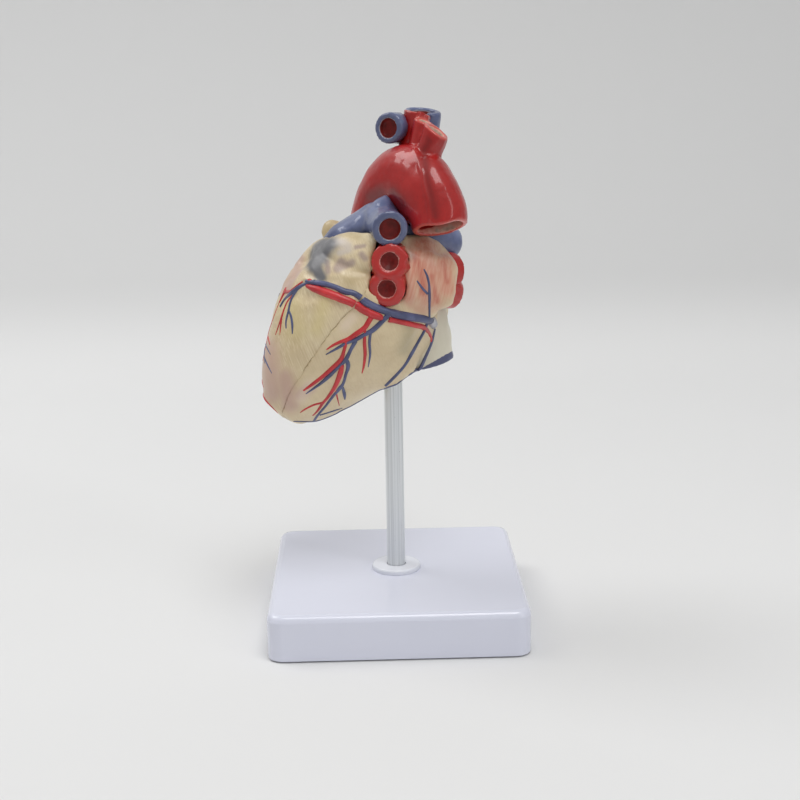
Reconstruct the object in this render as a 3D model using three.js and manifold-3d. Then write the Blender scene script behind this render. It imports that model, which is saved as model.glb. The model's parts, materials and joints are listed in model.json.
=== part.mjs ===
// A two-part model of the human heart on a stand, as used in a classroom. Millimetres, +Z up.
// The origin is the middle of the base's underside. The front of the stand faces -Y.
//
// The heart has a frame of its own. Its origin is on the rod's axis, HEART_HEIGHT above the table.
// There +X is the heart's right side, +Y its front and +Z up. TURN_ON_ROD turns that frame on the
// rod, so that the left side and the back of the heart face the front of the stand.

import * as THREE from "three";
import { ConvexGeometry } from "three/addons/geometries/ConvexGeometry.js";
import { mergeVertices } from "three/addons/utils/BufferGeometryUtils.js";
import Module from "manifold-3d";

// Stand
const BASE_SIDE = 130;
const BASE_HEIGHT = 24;
const BASE_CORNER_RADIUS = 8;
const BASE_EDGE_RADIUS = 3.5;
const BASE_WALL = 2.6;
const BOSS_RADIUS = 11;
const BOSS_FLOOR = 5;
const FOOT_RADIUS = 6;
const FOOT_HEIGHT = 3;
const FOOT_SHOWING = 0.8;
const FOOT_INSET = 14;
const FOOT_POST_RADIUS = 7.5;
const COLLAR_RADIUS = 12.7;
const COLLAR_HEIGHT = 2.6;
const COLLAR_EDGE_RADIUS = 1;
const ROD_RADIUS = 4.7;
const ROD_CHAMFER = 0.6;
const ROD_SEAT_DEPTH = 8;
const SCREW_HOLE_RADIUS = 2.1;
const SCREW_HOLE_DEPTH = 16;
const SCREW_GRIP = 12;
const SCREW_HEAD_RADIUS = 4.6;
const SCREW_HEAD_HEIGHT = 2.4;
const WASHER_RADIUS = 7.5;
const WASHER_HEIGHT = 1.2;

// Heart on its rod
const HEART_HEIGHT = 122;
const TURN_ON_ROD = Math.PI / 4;
const ROD_IN_HEART = 22;
const SOCKET_WALL = 2;
const SOCKET_ROOF = 2.5;
const SOCKET_SUNK = 0.8;

// Walls and fits
const GAP = 0.3;
const LEFT_WALL = 11;
const RIGHT_WALL = 5;
const FLOOR_UNDER_ATRIA = 4;
const VALVE_PLANE = 56;
const PIN_RADIUS = 1.5;
const PIN_SHOWING = 5;
const PIN_SUNK = 4;
const RELIEF_SUNK = 0.35;

// Vessels
const VESSEL_WALL = 2.8;
const AORTA_RADIUS = 13.3;
const TRUNK_RADIUS = 11;
const BRANCH_RADIUS = 8.6;
const BRANCH_BORE = 5.1;
const UPPER_CAVA_RADIUS = 8.6;
const HEAD_VEIN_RADIUS = 7.6;
const LOWER_CAVA_RADIUS = 12;
const LUNG_VEIN_RADIUS = 8.6;
const LUNG_VEIN_BORE = 4.4;
const PLUG_DEPTH = 2.5;
const PAST_FACE = 2;
const WAKE_LENGTH = 60;
const WALL_TOP = 86;
const TRUNK_BORE_DEPTH = 14;

// Valves
const MITRAL_RADIUS = 12;
const TRICUSPID_RADIUS = 12.5;
const LEAFLET_LENGTH = 13;
const ANNULUS_HEIGHT = 3;
const CHORD_RADIUS = 0.6;
const CUSP_DEPTH = 5;
const POCKET_PLAY = 0.7;
const CUSP_THICKNESS = 0.9;
const VALVE_SIDES = 16;

// The front wall parts from the rear half along two planes that face forwards. Each has its slope
// back from the vertical, and its distance in front of the heart's origin along its own normal.
const LOWER_PARTING = { slope: 0.617, distance: 16.6 };
const UPPER_PARTING = { slope: 0.03, distance: -15.3 };

const wasm = await Module();
wasm.setup();

const at = (x, y, z) => new THREE.Vector3(x, y, z);
const ACROSS = at(1, 0, 0);
const FORWARD = at(0, 1, 0);
const UP = at(0, 0, 1);
const LEFT_AND_UP = at(-0.85, 0, 0.52);

// Solids from three.js geometry, and back

function solidOf(geometry) {
  const bare = geometry.clone();
  bare.deleteAttribute("normal");
  bare.deleteAttribute("uv");
  const merged = mergeVertices(bare, 1e-4);
  return new wasm.Manifold(
    new wasm.Mesh({
      numProp: 3,
      vertProperties: new Float32Array(merged.attributes.position.array),
      triVerts: new Uint32Array(merged.index.array),
    }),
  );
}

function geometryOf(solid) {
  const mesh = solid.getMesh();
  const geometry = new THREE.BufferGeometry();
  geometry.setAttribute("position", new THREE.BufferAttribute(new Float32Array(mesh.vertProperties), 3));
  geometry.setIndex(new THREE.BufferAttribute(new Uint32Array(mesh.triVerts), 1));
  geometry.computeVertexNormals();
  return geometry;
}

const joined = (solids) => solids.reduce((whole, solid) => whole.add(solid));
const without = (solid, cutters) => cutters.reduce((rest, cutter) => rest.subtract(cutter), solid);

// A cut can leave crumbs too small to see. The piece is the largest body.
function largestOf(solid) {
  return solid.decompose().reduce((best, body) => (body.volume() > best.volume() ? body : best));
}

// Closed surfaces made of loops of points

function surfaceOf(points, index) {
  const geometry = new THREE.BufferGeometry();
  const positions = points.flatMap((point) => point.toArray());
  geometry.setAttribute("position", new THREE.BufferAttribute(new Float32Array(positions), 3));
  geometry.setIndex(index);
  return geometry;
}

function stitch(index, low, high, sides) {
  for (let j = 0; j < sides; j += 1) {
    const next = (j + 1) % sides;
    index.push(low + j, low + next, high + next, low + j, high + next, high + j);
  }
}

// A stack of loops, closed by a fan to a pole at each end.
function stackOf(loops, startPole, endPole) {
  const sides = loops[0].length;
  const start = loops.length * sides;
  const end = start + 1;
  const last = start - sides;
  const index = [];
  for (let i = 0; i + 1 < loops.length; i += 1) {
    stitch(index, i * sides, (i + 1) * sides, sides);
  }
  for (let j = 0; j < sides; j += 1) {
    const next = (j + 1) % sides;
    index.push(start, next, j, end, last + j, last + next);
  }
  return surfaceOf(loops.flat().concat([startPole, endPole]), index);
}

// A band of loops whose last joins its first, as in a ring.
function bandOf(loops) {
  const sides = loops[0].length;
  const index = [];
  for (let i = 0; i < loops.length; i += 1) {
    stitch(index, i * sides, ((i + 1) % loops.length) * sides, sides);
  }
  return surfaceOf(loops.flat(), index);
}

// A closed body swept along a smooth curve. A station is [point, half width, half depth], and the
// half widths lie along `side`. An end is flat, or a dome of the given height. `grow` makes the body
// thicker all round by that much, and `reach` is how far it runs on past its flat ends.
function sweep(stations, options) {
  const { side, rings = 10, sides = 20, domes = [0, 0], domeRings = 3, grow = 0, reach = grow } = options;
  const path = new THREE.CatmullRomCurve3(stations.map(([point]) => point), false, "centripetal");
  const sizes = stations.map(([, across, deep = across]) => at(across, deep, 0));
  const widths = new THREE.CatmullRomCurve3(sizes, false, "centripetal");
  const loopAt = (t, shift, scale) => {
    const tangent = path.getTangent(t);
    const centre = path.getPoint(t).addScaledVector(tangent, shift);
    const size = widths.getPoint(t);
    const across = side.clone().addScaledVector(tangent, -side.dot(tangent)).normalize();
    const deep = tangent.clone().cross(across);
    return Array.from({ length: sides }, (_, j) => {
      const angle = (2 * Math.PI * j) / sides;
      return centre
        .clone()
        .addScaledVector(across, (size.x + grow) * scale * Math.cos(angle))
        .addScaledVector(deep, (size.y + grow) * scale * Math.sin(angle));
    });
  };
  const domeLoops = (t, height) =>
    Array.from({ length: height === 0 ? 0 : domeRings - 1 }, (_, i) => {
      const angle = ((i + 1) / domeRings) * (Math.PI / 2);
      const rise = (Math.abs(height) + grow) * Math.sign(height) * Math.sin(angle);
      return loopAt(t, rise, Math.cos(angle));
    });
  const loops = domeLoops(0, -domes[0]).reverse();
  for (let i = 0; i <= rings; i += 1) {
    const startShift = i === 0 && domes[0] === 0 ? -reach : 0;
    const endShift = i === rings && domes[1] === 0 ? reach : 0;
    loops.push(loopAt(i / rings, startShift + endShift, 1));
  }
  loops.push(...domeLoops(1, domes[1]));
  const endReach = domes.map((height) => (height === 0 ? reach : height + grow));
  const startPole = path.getPoint(0).addScaledVector(path.getTangent(0), -endReach[0]);
  const endPole = path.getPoint(1).addScaledVector(path.getTangent(1), endReach[1]);
  return solidOf(stackOf(loops, startPole, endPole));
}

// A solid of revolution about +Z. The outline's points are [radius, height], from axis to axis.
function turned(outline, segments = 32) {
  const profile = outline.map(([radius, height]) => new THREE.Vector2(radius, height));
  const geometry = new THREE.LatheGeometry(profile, segments);
  geometry.rotateX(Math.PI / 2);
  return solidOf(geometry);
}

const cylinder = (radius, bottom, top, segments = 20) =>
  turned([[0, bottom], [radius, bottom], [radius, top], [0, top]], segments);

const straightBore = (from, to, radius, side, sides = 18) =>
  sweep([[from, radius], [to, radius]], { side, rings: 1, sides });

// Stand: base, feet, collar, rod and its screw

function roundedSquare(half, cornerRadius, height) {
  const steps = 4;
  const loop = [];
  for (let corner = 0; corner < 4; corner += 1) {
    const turn = (corner * Math.PI) / 2;
    const reach = (half - cornerRadius) * Math.SQRT2;
    const centre = at(reach * Math.cos(turn + Math.PI / 4), reach * Math.sin(turn + Math.PI / 4), height);
    for (let i = 0; i <= steps; i += 1) {
      const angle = turn + ((i / steps) * Math.PI) / 2;
      loop.push(centre.clone().add(at(cornerRadius * Math.cos(angle), cornerRadius * Math.sin(angle), 0)));
    }
  }
  return loop;
}

// A block with round corners and a round top edge, inset all round by `wall`.
function cushionBlock(bottom, wall) {
  const half = BASE_SIDE / 2 - wall;
  const cornerRadius = BASE_CORNER_RADIUS - wall;
  const edgeRadius = BASE_EDGE_RADIUS - wall;
  const top = BASE_HEIGHT - wall;
  const edgeSteps = 3;
  const loops = [roundedSquare(half, cornerRadius, bottom)];
  for (let i = 0; i <= edgeSteps; i += 1) {
    const angle = ((i / edgeSteps) * Math.PI) / 2;
    const inset = edgeRadius * (1 - Math.cos(angle));
    loops.push(roundedSquare(half - inset, cornerRadius - inset, top - edgeRadius * (1 - Math.sin(angle))));
  }
  return solidOf(stackOf(loops, at(0, 0, bottom), at(0, 0, top)));
}

const footPlaces = [[-1, -1], [1, -1], [1, 1], [-1, 1]].map(([x, y]) => {
  const offset = BASE_SIDE / 2 - FOOT_INSET;
  return at(x * offset, y * offset, 0);
});
const rodFoot = BASE_HEIGHT - ROD_SEAT_DEPTH;
const washerTop = BOSS_FLOOR - GAP;
const screwHeadTop = washerTop - WASHER_HEIGHT - GAP;
const screwRadius = SCREW_HOLE_RADIUS - GAP;

function baseShell() {
  const roof = BASE_HEIGHT - BASE_WALL;
  const into = BASE_WALL / 2;
  const posts = footPlaces.map(({ x, y }) =>
    cylinder(FOOT_POST_RADIUS, FOOT_HEIGHT + GAP, roof + into, 16).translate([x, y, 0]));
  const shell = cushionBlock(FOOT_SHOWING, 0).subtract(cushionBlock(-1, BASE_WALL));
  const boss = cylinder(BOSS_RADIUS, BOSS_FLOOR, roof + into, 24);
  const rodSeat = cylinder(ROD_RADIUS + GAP, rodFoot - GAP, BASE_HEIGHT + 1);
  const screwHole = cylinder(SCREW_HOLE_RADIUS + GAP, 0, BASE_HEIGHT);
  return without(joined([shell, boss, ...posts]), [rodSeat, screwHole]);
}

const baseFoot = () => {
  const edge = FOOT_SHOWING / 2;
  return turned(
    [[0, 0], [FOOT_RADIUS - edge, 0], [FOOT_RADIUS, edge], [FOOT_RADIUS, FOOT_HEIGHT], [0, FOOT_HEIGHT]],
    16,
  );
};

function rodCollar() {
  const bottom = BASE_HEIGHT;
  const top = BASE_HEIGHT + COLLAR_HEIGHT;
  const bore = ROD_RADIUS + GAP;
  const edge = Array.from({ length: 4 }, (_, i) => {
    const angle = (i / 3) * (Math.PI / 2);
    const inset = COLLAR_EDGE_RADIUS * (1 - Math.cos(angle));
    return [COLLAR_RADIUS - inset, top - COLLAR_EDGE_RADIUS * (1 - Math.sin(angle))];
  });
  return turned([[bore, bottom], [COLLAR_RADIUS, bottom], ...edge, [bore, top], [bore, bottom]], 28);
}

function supportRod() {
  const top = HEART_HEIGHT + ROD_IN_HEART;
  const holeTop = rodFoot + SCREW_HOLE_DEPTH;
  return turned([
    [0, holeTop],
    [SCREW_HOLE_RADIUS, holeTop],
    [SCREW_HOLE_RADIUS, rodFoot],
    [ROD_RADIUS, rodFoot],
    [ROD_RADIUS, top - ROD_CHAMFER],
    [ROD_RADIUS - ROD_CHAMFER, top],
    [0, top],
  ], 20);
}

const rodScrew = () =>
  turned([
    [0, screwHeadTop - SCREW_HEAD_HEIGHT],
    [SCREW_HEAD_RADIUS, screwHeadTop - SCREW_HEAD_HEIGHT],
    [SCREW_HEAD_RADIUS, screwHeadTop],
    [screwRadius, screwHeadTop],
    [screwRadius, rodFoot + SCREW_GRIP],
    [0, rodFoot + SCREW_GRIP],
  ], 14);

const rodWasher = () => {
  const hole = SCREW_HOLE_RADIUS + GAP;
  const bottom = washerTop - WASHER_HEIGHT;
  return turned([[hole, bottom], [WASHER_RADIUS, bottom], [WASHER_RADIUS, washerTop], [hole, washerTop],
    [hole, bottom]], 20);
};

// Heart: the outer form of each chamber and vessel. `grow` makes it thicker or thinner.

const ventricles = (grow = 0, rings = 11) =>
  sweep(
    [
      [at(-5, 5, 54), 38.5, 34],
      [at(-10.6, 8.8, 45.7), 41.5, 37],
      [at(-16.6, 12.8, 36.7), 41.5, 36.5],
      [at(-24.8, 18.3, 24.6), 36.5, 32.5],
      [at(-31.2, 22.7, 15), 31, 28],
      [at(-37.7, 27, 5.4), 25.5, 22.5],
      [at(-42.4, 30.2, -1.7), 20, 18],
      [at(-45.4, 32.3, -6.2), 14.5, 13],
    ],
    { side: LEFT_AND_UP, rings, sides: 26, domes: [18, 5], domeRings: 3, grow },
  );

const leftVentricle = (grow = 0) =>
  sweep(
    [
      [at(-16, -3, 58), 27, 27],
      [at(-24, 4, 44), 28, 27],
      [at(-32, 13, 28), 26, 25],
      [at(-40, 24, 8), 18, 17],
    ],
    { side: LEFT_AND_UP, rings: 4, sides: 18, domes: [6, 10], grow },
  );

const leftAuricle = (grow = 0) =>
  sweep([[at(-21, -11, 69), 14, 13], [at(-29, 1, 69), 13.5, 12.5], [at(-30, 13, 68.5), 9.5, 9.5]], {
    side: UP, rings: 4, sides: 18, domes: [5, 8], grow,
  });

const leftAtrium = (grow = 0) =>
  sweep([[at(-14, -19, 61), 14, 17], [at(-4, -19.6, 61.4), 17, 20], [at(4, -19.3, 60.8), 15, 18]], {
    side: FORWARD, rings: 3, sides: 18, domes: [9, 11], domeRings: 3, grow,
  });

const rightAtrium = (grow = 0) =>
  sweep([[at(21, 0, 32), 13, 15], [at(24, 6, 52), 16, 19], [at(25, 4, 74), 11, 12]], {
    side: ACROSS, rings: 4, sides: 16, domes: [6, 6], domeRings: 2, grow,
  });

const rightAuricle = (grow = 0) =>
  sweep([[at(24, 18, 66), 9, 11], [at(10, 30, 72), 8, 9], [at(-6, 33, 76), 5, 6]], {
    side: UP, rings: 4, sides: 12, domes: [4, 4], domeRings: 2, grow,
  });

const aorta = (grow = 0, reach = grow, rings = 12) =>
  sweep(
    [
      [AORTIC_ROOT, AORTA_RADIUS],
      [at(4, 15, 78), AORTA_RADIUS],
      [at(5, 10, 92), AORTA_RADIUS, AORTA_RADIUS + 2],
      [at(4.5, 0, 102), AORTA_RADIUS + 0.7, AORTA_RADIUS + 4],
      [at(3, -13, 104.5), AORTA_RADIUS + 0.7, AORTA_RADIUS + 6],
      [at(0.5, -25.5, 99.5), AORTA_RADIUS + 0.7, AORTA_RADIUS + 5.2],
      [at(-1, -32.5, 92.5), AORTA_RADIUS + 0.3, AORTA_RADIUS + 2],
      [at(-2.5, -35.6, 84.7), AORTA_RADIUS],
    ],
    { side: ACROSS, rings, sides: 18, grow, reach },
  );

const HEAD_BRANCHES = [
  { from: at(9, -4, 108), to: at(16.5, -4.5, 139), radius: 6.8 },
  { from: at(4, -13, 110), to: at(10.5, -15, 136), radius: 5.4 },
  { from: at(2, -20, 106), to: at(6.5, -26, 131), radius: 6.5 },
];

const headBranches = (grow = 0, reach = grow) =>
  HEAD_BRANCHES.map(({ from, to, radius }) =>
    sweep([[from, radius + 3], [from.clone().lerp(to, 0.5), radius], [to, radius]], {
      side: ACROSS, rings: 2, sides: 12, grow, reach,
    }));

// The trunk's root stands beside the aorta's, to its left and a little in front.
const AORTIC_ROOT = at(3, 14, 57);
const TRUNK_AXIS = at(0, -0.35, 0.94).normalize();
const TRUNK_ROOT = at(-0.925, 0.38, 0)
  .multiplyScalar(AORTA_RADIUS + TRUNK_RADIUS + GAP)
  .add(AORTIC_ROOT);

const pulmonaryTrunk = (grow = 0) =>
  sweep(
    [
      [TRUNK_ROOT, TRUNK_RADIUS],
      [TRUNK_ROOT.clone().add(at(0.5, -5.5, 12)), TRUNK_RADIUS],
      [at(-15, 6, 81), TRUNK_RADIUS],
      [at(-11, -5, 86), TRUNK_RADIUS],
    ],
    { side: ACROSS, rings: 5, sides: 16, domes: [0, 8], grow },
  );

const LEFT_BRANCH_END = at(-26, -25, 85.6);

const leftPulmonary = (grow = 0) =>
  sweep(
    [
      [at(-13, -6, 86), BRANCH_RADIUS + 2],
      [at(-20, -17, 86), BRANCH_RADIUS],
      [LEFT_BRANCH_END, BRANCH_RADIUS],
    ],
    { side: UP, rings: 3, sides: 16, domes: [4, 0], grow },
  );

const rightPulmonary = (grow = 0) =>
  sweep(
    [
      [at(-10, -5, 86), BRANCH_RADIUS + 2],
      [at(5, -12, 79), BRANCH_RADIUS],
      [at(17, -15, 75.5), BRANCH_RADIUS],
      [at(28, -14, 72.5), BRANCH_RADIUS],
    ],
    { side: UP, rings: 4, sides: 14, domes: [4, 0], grow },
  );

const UPPER_CAVA_TOP = at(26, 2, 138);

const upperCava = (grow = 0) =>
  sweep(
    [
      [at(25, 3, 74), UPPER_CAVA_RADIUS],
      [at(26, 3, 108), UPPER_CAVA_RADIUS],
      [UPPER_CAVA_TOP, UPPER_CAVA_RADIUS],
    ],
    { side: ACROSS, rings: 2, sides: 16, grow },
  );

const HEAD_VEIN_END = at(-1, -0.5, 131);

const leftHeadVein = (grow = 0) =>
  sweep(
    [
      [HEAD_VEIN_END, HEAD_VEIN_RADIUS],
      [at(13, 3, 130), HEAD_VEIN_RADIUS],
      [at(26, 3, 126), HEAD_VEIN_RADIUS],
    ],
    { side: UP, rings: 3, sides: 14, grow },
  );

const LOWER_CAVA_END = at(19.5, -9, 11);

const lowerCava = (grow = 0) =>
  sweep(
    [
      [LOWER_CAVA_END, LOWER_CAVA_RADIUS],
      [at(17, -6.5, 25), LOWER_CAVA_RADIUS],
      [at(17, -5, 40), LOWER_CAVA_RADIUS],
    ],
    { side: ACROSS, rings: 2, sides: 18, grow },
  );

const LEFT_LUNG_VEINS = [
  { from: at(-16, -16, 68.5), to: at(-28, -26, 70.6) },
  { from: at(-16, -15, 57.8), to: at(-29, -25, 57.4) },
];
const RIGHT_LUNG_VEINS = [
  { from: at(9, -20, 61), to: at(22.5, -22.5, 60) },
  { from: at(9, -19.5, 52), to: at(22.5, -21, 49) },
];

const lungVeins = (veins, grow = 0) =>
  veins.map(({ from, to }) => straightBore(from, to, LUNG_VEIN_RADIUS + grow, UP, 16));

// A flat-bottomed recess in the end face of a vessel whose bore is plugged.
function plugRecess(from, end, radius) {
  const inwards = from.clone().sub(end).normalize();
  const bottom = end.clone().addScaledVector(inwards, PLUG_DEPTH);
  const mouth = end.clone().addScaledVector(inwards, -PAST_FACE);
  return straightBore(bottom, mouth, radius, UP, 16);
}

// Space in front of both parting planes, moved forwards by `gap`.
function frontSpace(gap) {
  const reach = 200;
  return [LOWER_PARTING, UPPER_PARTING]
    .map(({ slope, distance }) => {
      const block = new THREE.BoxGeometry(2 * reach, reach, 2 * reach);
      block.translate(0, reach / 2 + distance + gap, 0);
      block.rotateX(slope);
      return solidOf(block);
    })
    .reduce((both, space) => both.intersect(space));
}

// The space behind a body, which the front wall must leave clear to slide off forwards.
function wakeOf(body) {
  const { vertProperties } = body.getMesh();
  const points = [];
  for (let i = 0; i < vertProperties.length; i += 3) {
    const point = at(vertProperties[i], vertProperties[i + 1], vertProperties[i + 2]);
    points.push(point, at(point.x, point.y - WAKE_LENGTH, point.z));
  }
  return solidOf(new ConvexGeometry(points));
}

function belowHeight(height) {
  const reach = 200;
  const block = new THREE.BoxGeometry(2 * reach, 2 * reach, reach);
  block.translate(0, 0, height - reach / 2);
  return solidOf(block);
}

const BELOW_HEART = -60;
const socketRadius = ROD_RADIUS + GAP;
const socketTop = ROD_IN_HEART + GAP + SOCKET_ROOF;

const leftChamber = leftVentricle(-LEFT_WALL)
  .intersect(belowHeight(VALVE_PLANE))
  .subtract(leftAtrium(FLOOR_UNDER_ATRIA));
const rightChamber = without(ventricles(-RIGHT_WALL, 6), [
  leftVentricle(),
  rightAtrium(FLOOR_UNDER_ATRIA),
  leftAtrium(FLOOR_UNDER_ATRIA),
  cylinder(socketRadius + SOCKET_WALL + GAP + 2.5, BELOW_HEART, socketTop + 3),
]);

// The coronary vessels stand out of the walls in low relief. Each has its radius at the start and at
// the end, and points near its course, which are dropped onto the surface from the heart's middle.
const CORONARY_VESSELS = [
  {
    // Coronary sinus
    radii: [1.2, 1.8],
    course: [[-49, 11, 61], [-48, -1, 60], [-38, -18, 52], [-15, -27, 43], [4, -23, 37]],
  },
  {
    // Circumflex artery
    radii: [1.6, 1.8],
    course: [[-51, 7, 58], [-49, -3, 56], [-43, -14, 52], [-31, -23, 43]],
  },
  {
    // Circumflex end
    radii: [1, 0.6],
    course: [[-27, -24, 43], [-11, -26, 37], [3, -22, 30]],
  },
  {
    // Rear artery
    radii: [1.2, 0.9],
    course: [[-34, -20, 44], [-43, -12, 33], [-44, -8, 23], [-53, 10, 7]],
  },
  {
    // Rear artery's branch
    radii: [1.2, 0.6],
    course: [[-44, -7, 21], [-42, -3, 12], [-43, 13, -8]],
  },
  {
    // Rear vein
    radii: [1.2, 0.7],
    course: [[-27, -24, 44], [-42, -12, 29], [-42, -10, 23], [-41, 2, 3], [-39, 16, -11]],
  },
  {
    // Middle vein
    radii: [0.8, 0.6],
    course: [[0, -24, 36], [-6, -23, 28], [-8, -16, 15], [-10, -5, 5]],
  },
  {
    // Front artery
    radii: [1.6, 0.8],
    course: [[-33, 28, 62], [-34, 42, 45], [-38, 50, 25], [-44, 50, 5], [-48, 42, -6]],
  },
  {
    // Front vein
    radii: [1.5, 0.8],
    course: [[-44, 24, 58], [-42, 38, 44], [-45, 44, 25], [-50, 44, 8]],
  },
  {
    // Right artery
    radii: [1.6, 1],
    course: [[16, 42, 56], [22, 36, 46], [22, 30, 34]],
  },
  {
    // Right artery's branch
    radii: [1.1, 0.6],
    course: [[22, 34, 40], [10, 42, 24], [-8, 46, 10], [-26, 46, 0]],
  },
];

const smoothForm = joined([ventricles(), leftAuricle()]);
const bothSides = new THREE.MeshBasicMaterial({ side: THREE.DoubleSide });
const smoothSurface = new THREE.Mesh(geometryOf(smoothForm), bothSides);
const middleLine = new THREE.Line3(at(-5, 5, 54), at(-42, 30, -2));

function droppedOntoSurface([x, y, z], sunk) {
  const point = at(x, y, z);
  const middle = middleLine.closestPointToPoint(point, true, at(0, 0, 0));
  const outwards = point.sub(middle).normalize();
  const hits = new THREE.Raycaster(middle, outwards).intersectObject(smoothSurface);
  return hits[hits.length - 1].point.addScaledVector(outwards, -sunk);
}

function coronaryVessel({ radii: [startRadius, endRadius], course }) {
  const stations = course.map((place, i) => {
    const radius = startRadius + ((endRadius - startRadius) * i) / (course.length - 1);
    return [droppedOntoSurface(place, radius * RELIEF_SUNK), radius];
  });
  return sweep(stations, { side: at(0.3, 0.2, 1), rings: 2 * course.length, sides: 6 });
}

const outerForm = joined([smoothForm, ...CORONARY_VESSELS.map(coronaryVessel)]);
const neighbours = (gap) => [
  aorta(gap),
  pulmonaryTrunk(gap),
  leftPulmonary(gap),
  rightPulmonary(gap),
  rightAuricle(gap),
  rightAtrium(gap),
  leftAtrium(gap),
  lowerCava(gap),
  upperCava(gap),
  ...lungVeins(LEFT_LUNG_VEINS, gap),
  ...lungVeins(RIGHT_LUNG_VEINS, gap),
];

const MITRAL = { centre: at(-14, -12, 47), axis: at(-0.4, 0.55, -0.72).normalize() };
const TRICUSPID = { centre: at(13, 11, 44), axis: at(-0.6, 0.42, -0.68).normalize() };

function valveBore({ centre, axis }, radius, before, after) {
  const from = centre.clone().addScaledVector(axis, -before);
  const to = centre.clone().addScaledVector(axis, after);
  return straightBore(from, to, radius, ACROSS, VALVE_SIDES);
}

const leafletReach = ANNULUS_HEIGHT + LEAFLET_LENGTH + GAP;
const mitralBore = valveBore(MITRAL, MITRAL_RADIUS + 2 * GAP, 4, leafletReach);
const tricuspidBore = valveBore(TRICUSPID, TRICUSPID_RADIUS + 2 * GAP, 4, leafletReach);

// Pins stand across the lower parting plane and lie along the way that the front wall slides off.
const PIN_PLACES = [at(-46, 0, 5), at(-46, 0, 28), at(-12, 0, 20)];

function pinAt({ x, z }, grow = 0) {
  const { slope, distance } = LOWER_PARTING;
  const onPlane = (distance - Math.sin(slope) * z) / Math.cos(slope);
  const back = at(x, onPlane - PIN_SUNK - grow, z);
  const front = at(x, onPlane + PIN_SHOWING + grow, z);
  return straightBore(back, front, PIN_RADIUS + grow, UP, 12);
}

const pinHoles = PIN_PLACES.map((place) => pinAt(place, GAP));
const socketHole = cylinder(socketRadius + SOCKET_WALL + GAP, BELOW_HEART, socketTop + GAP);

function rearHeartWall() {
  const chambers = [leftChamber, rightChamber, mitralBore, tricuspidBore];
  const solid = without(outerForm, [...chambers, frontSpace(-GAP / 2), socketHole]);
  return largestOf(without(solid, [...neighbours(GAP), ...pinHoles]));
}

function frontHeartWall() {
  const skin = outerForm.subtract(ventricles(-RIGHT_WALL, 6));
  const muscle = leftVentricle().intersect(belowHeight(VALVE_PLANE)).intersect(ventricles());
  const solid = joined([skin, muscle]).intersect(frontSpace(GAP / 2)).subtract(leftChamber);
  const vessels = [aorta(GAP), pulmonaryTrunk(GAP), rightAuricle(GAP), rightAtrium(GAP), leftAtrium(GAP)];
  const inside = [mitralBore, tricuspidBore, socketHole];
  const passed = [...vessels.map((vessel) => vessel.intersect(belowHeight(WALL_TOP))), ...inside];
  return largestOf(without(solid, [...passed.map(wakeOf), ...neighbours(GAP), ...pinHoles]));
}

// The sleeve that slides on the rod. It ends just inside the heart's underside.
function rodSocket() {
  const sleeve = cylinder(socketRadius + SOCKET_WALL, BELOW_HEART, socketTop);
  const bore = cylinder(socketRadius, BELOW_HEART - PAST_FACE, ROD_IN_HEART + GAP);
  return sleeve.subtract(bore).intersect(ventricles(-SOCKET_SUNK));
}

// Atria, each with a bowl behind its valve

const leftAtriumShell = () => without(leftAtrium(), [
  aorta(GAP),
  pulmonaryTrunk(GAP),
  leftPulmonary(GAP),
  rightPulmonary(GAP),
  mitralBore,
  ...lungVeins(LEFT_LUNG_VEINS, GAP),
  ...lungVeins(RIGHT_LUNG_VEINS, GAP),
]);

const rightAtriumShell = () => without(rightAtrium(), [
  leftAtrium(GAP),
  aorta(GAP),
  rightPulmonary(GAP),
  tricuspidBore,
]);

const rightAuricleShell = () => largestOf(without(rightAuricle(), [
  rightAtrium(GAP),
  aorta(GAP),
  pulmonaryTrunk(GAP),
  upperCava(GAP),
]));

// Vessels

function aorticArch() {
  const lumen = aorta(-VESSEL_WALL, PAST_FACE, 9);
  const lumens = headBranches(-VESSEL_WALL, PAST_FACE);
  return without(joined([aorta(), ...headBranches()]), [lumen, ...lumens]);
}

function pulmonaryArtery() {
  const vessel = joined([pulmonaryTrunk(), leftPulmonary(), rightPulmonary()]);
  const recess = plugRecess(at(-20, -17, 86), LEFT_BRANCH_END, BRANCH_BORE);
  const mouth = TRUNK_ROOT.clone().addScaledVector(TRUNK_AXIS, -PAST_FACE);
  const bottom = TRUNK_ROOT.clone().addScaledVector(TRUNK_AXIS, TRUNK_BORE_DEPTH);
  const bore = straightBore(mouth, bottom, TRUNK_RADIUS - VESSEL_WALL, ACROSS, VALVE_SIDES);
  return largestOf(without(vessel, [aorta(GAP), ...headBranches(GAP), bore, recess]));
}

function superiorVenaCava() {
  const vessel = joined([upperCava(), leftHeadVein()]);
  const recesses = [
    plugRecess(at(13, 3, 130), HEAD_VEIN_END, HEAD_VEIN_RADIUS - VESSEL_WALL),
    plugRecess(at(26, 3, 108), UPPER_CAVA_TOP, UPPER_CAVA_RADIUS - VESSEL_WALL),
  ];
  const against = [aorta(GAP), ...headBranches(GAP), rightAtrium(GAP), rightAuricle(GAP), rightPulmonary(GAP)];
  return largestOf(without(vessel, [...against, ...recesses]));
}

function inferiorVenaCava() {
  const recess = plugRecess(at(17, -6.5, 25), LOWER_CAVA_END, LOWER_CAVA_RADIUS - VESSEL_WALL);
  return largestOf(without(lowerCava(), [rightAtrium(GAP), leftAtrium(GAP), tricuspidBore, socketHole, recess]));
}

function pulmonaryVeins(veins) {
  const recesses = veins.map(({ from, to }) => plugRecess(from, to, LUNG_VEIN_BORE));
  const against = [rightAtrium(GAP), leftPulmonary(GAP), rightPulmonary(GAP), lowerCava(GAP), mitralBore];
  return largestOf(without(joined(lungVeins(veins)), [...against, ...recesses]));
}

// Valves

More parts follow.
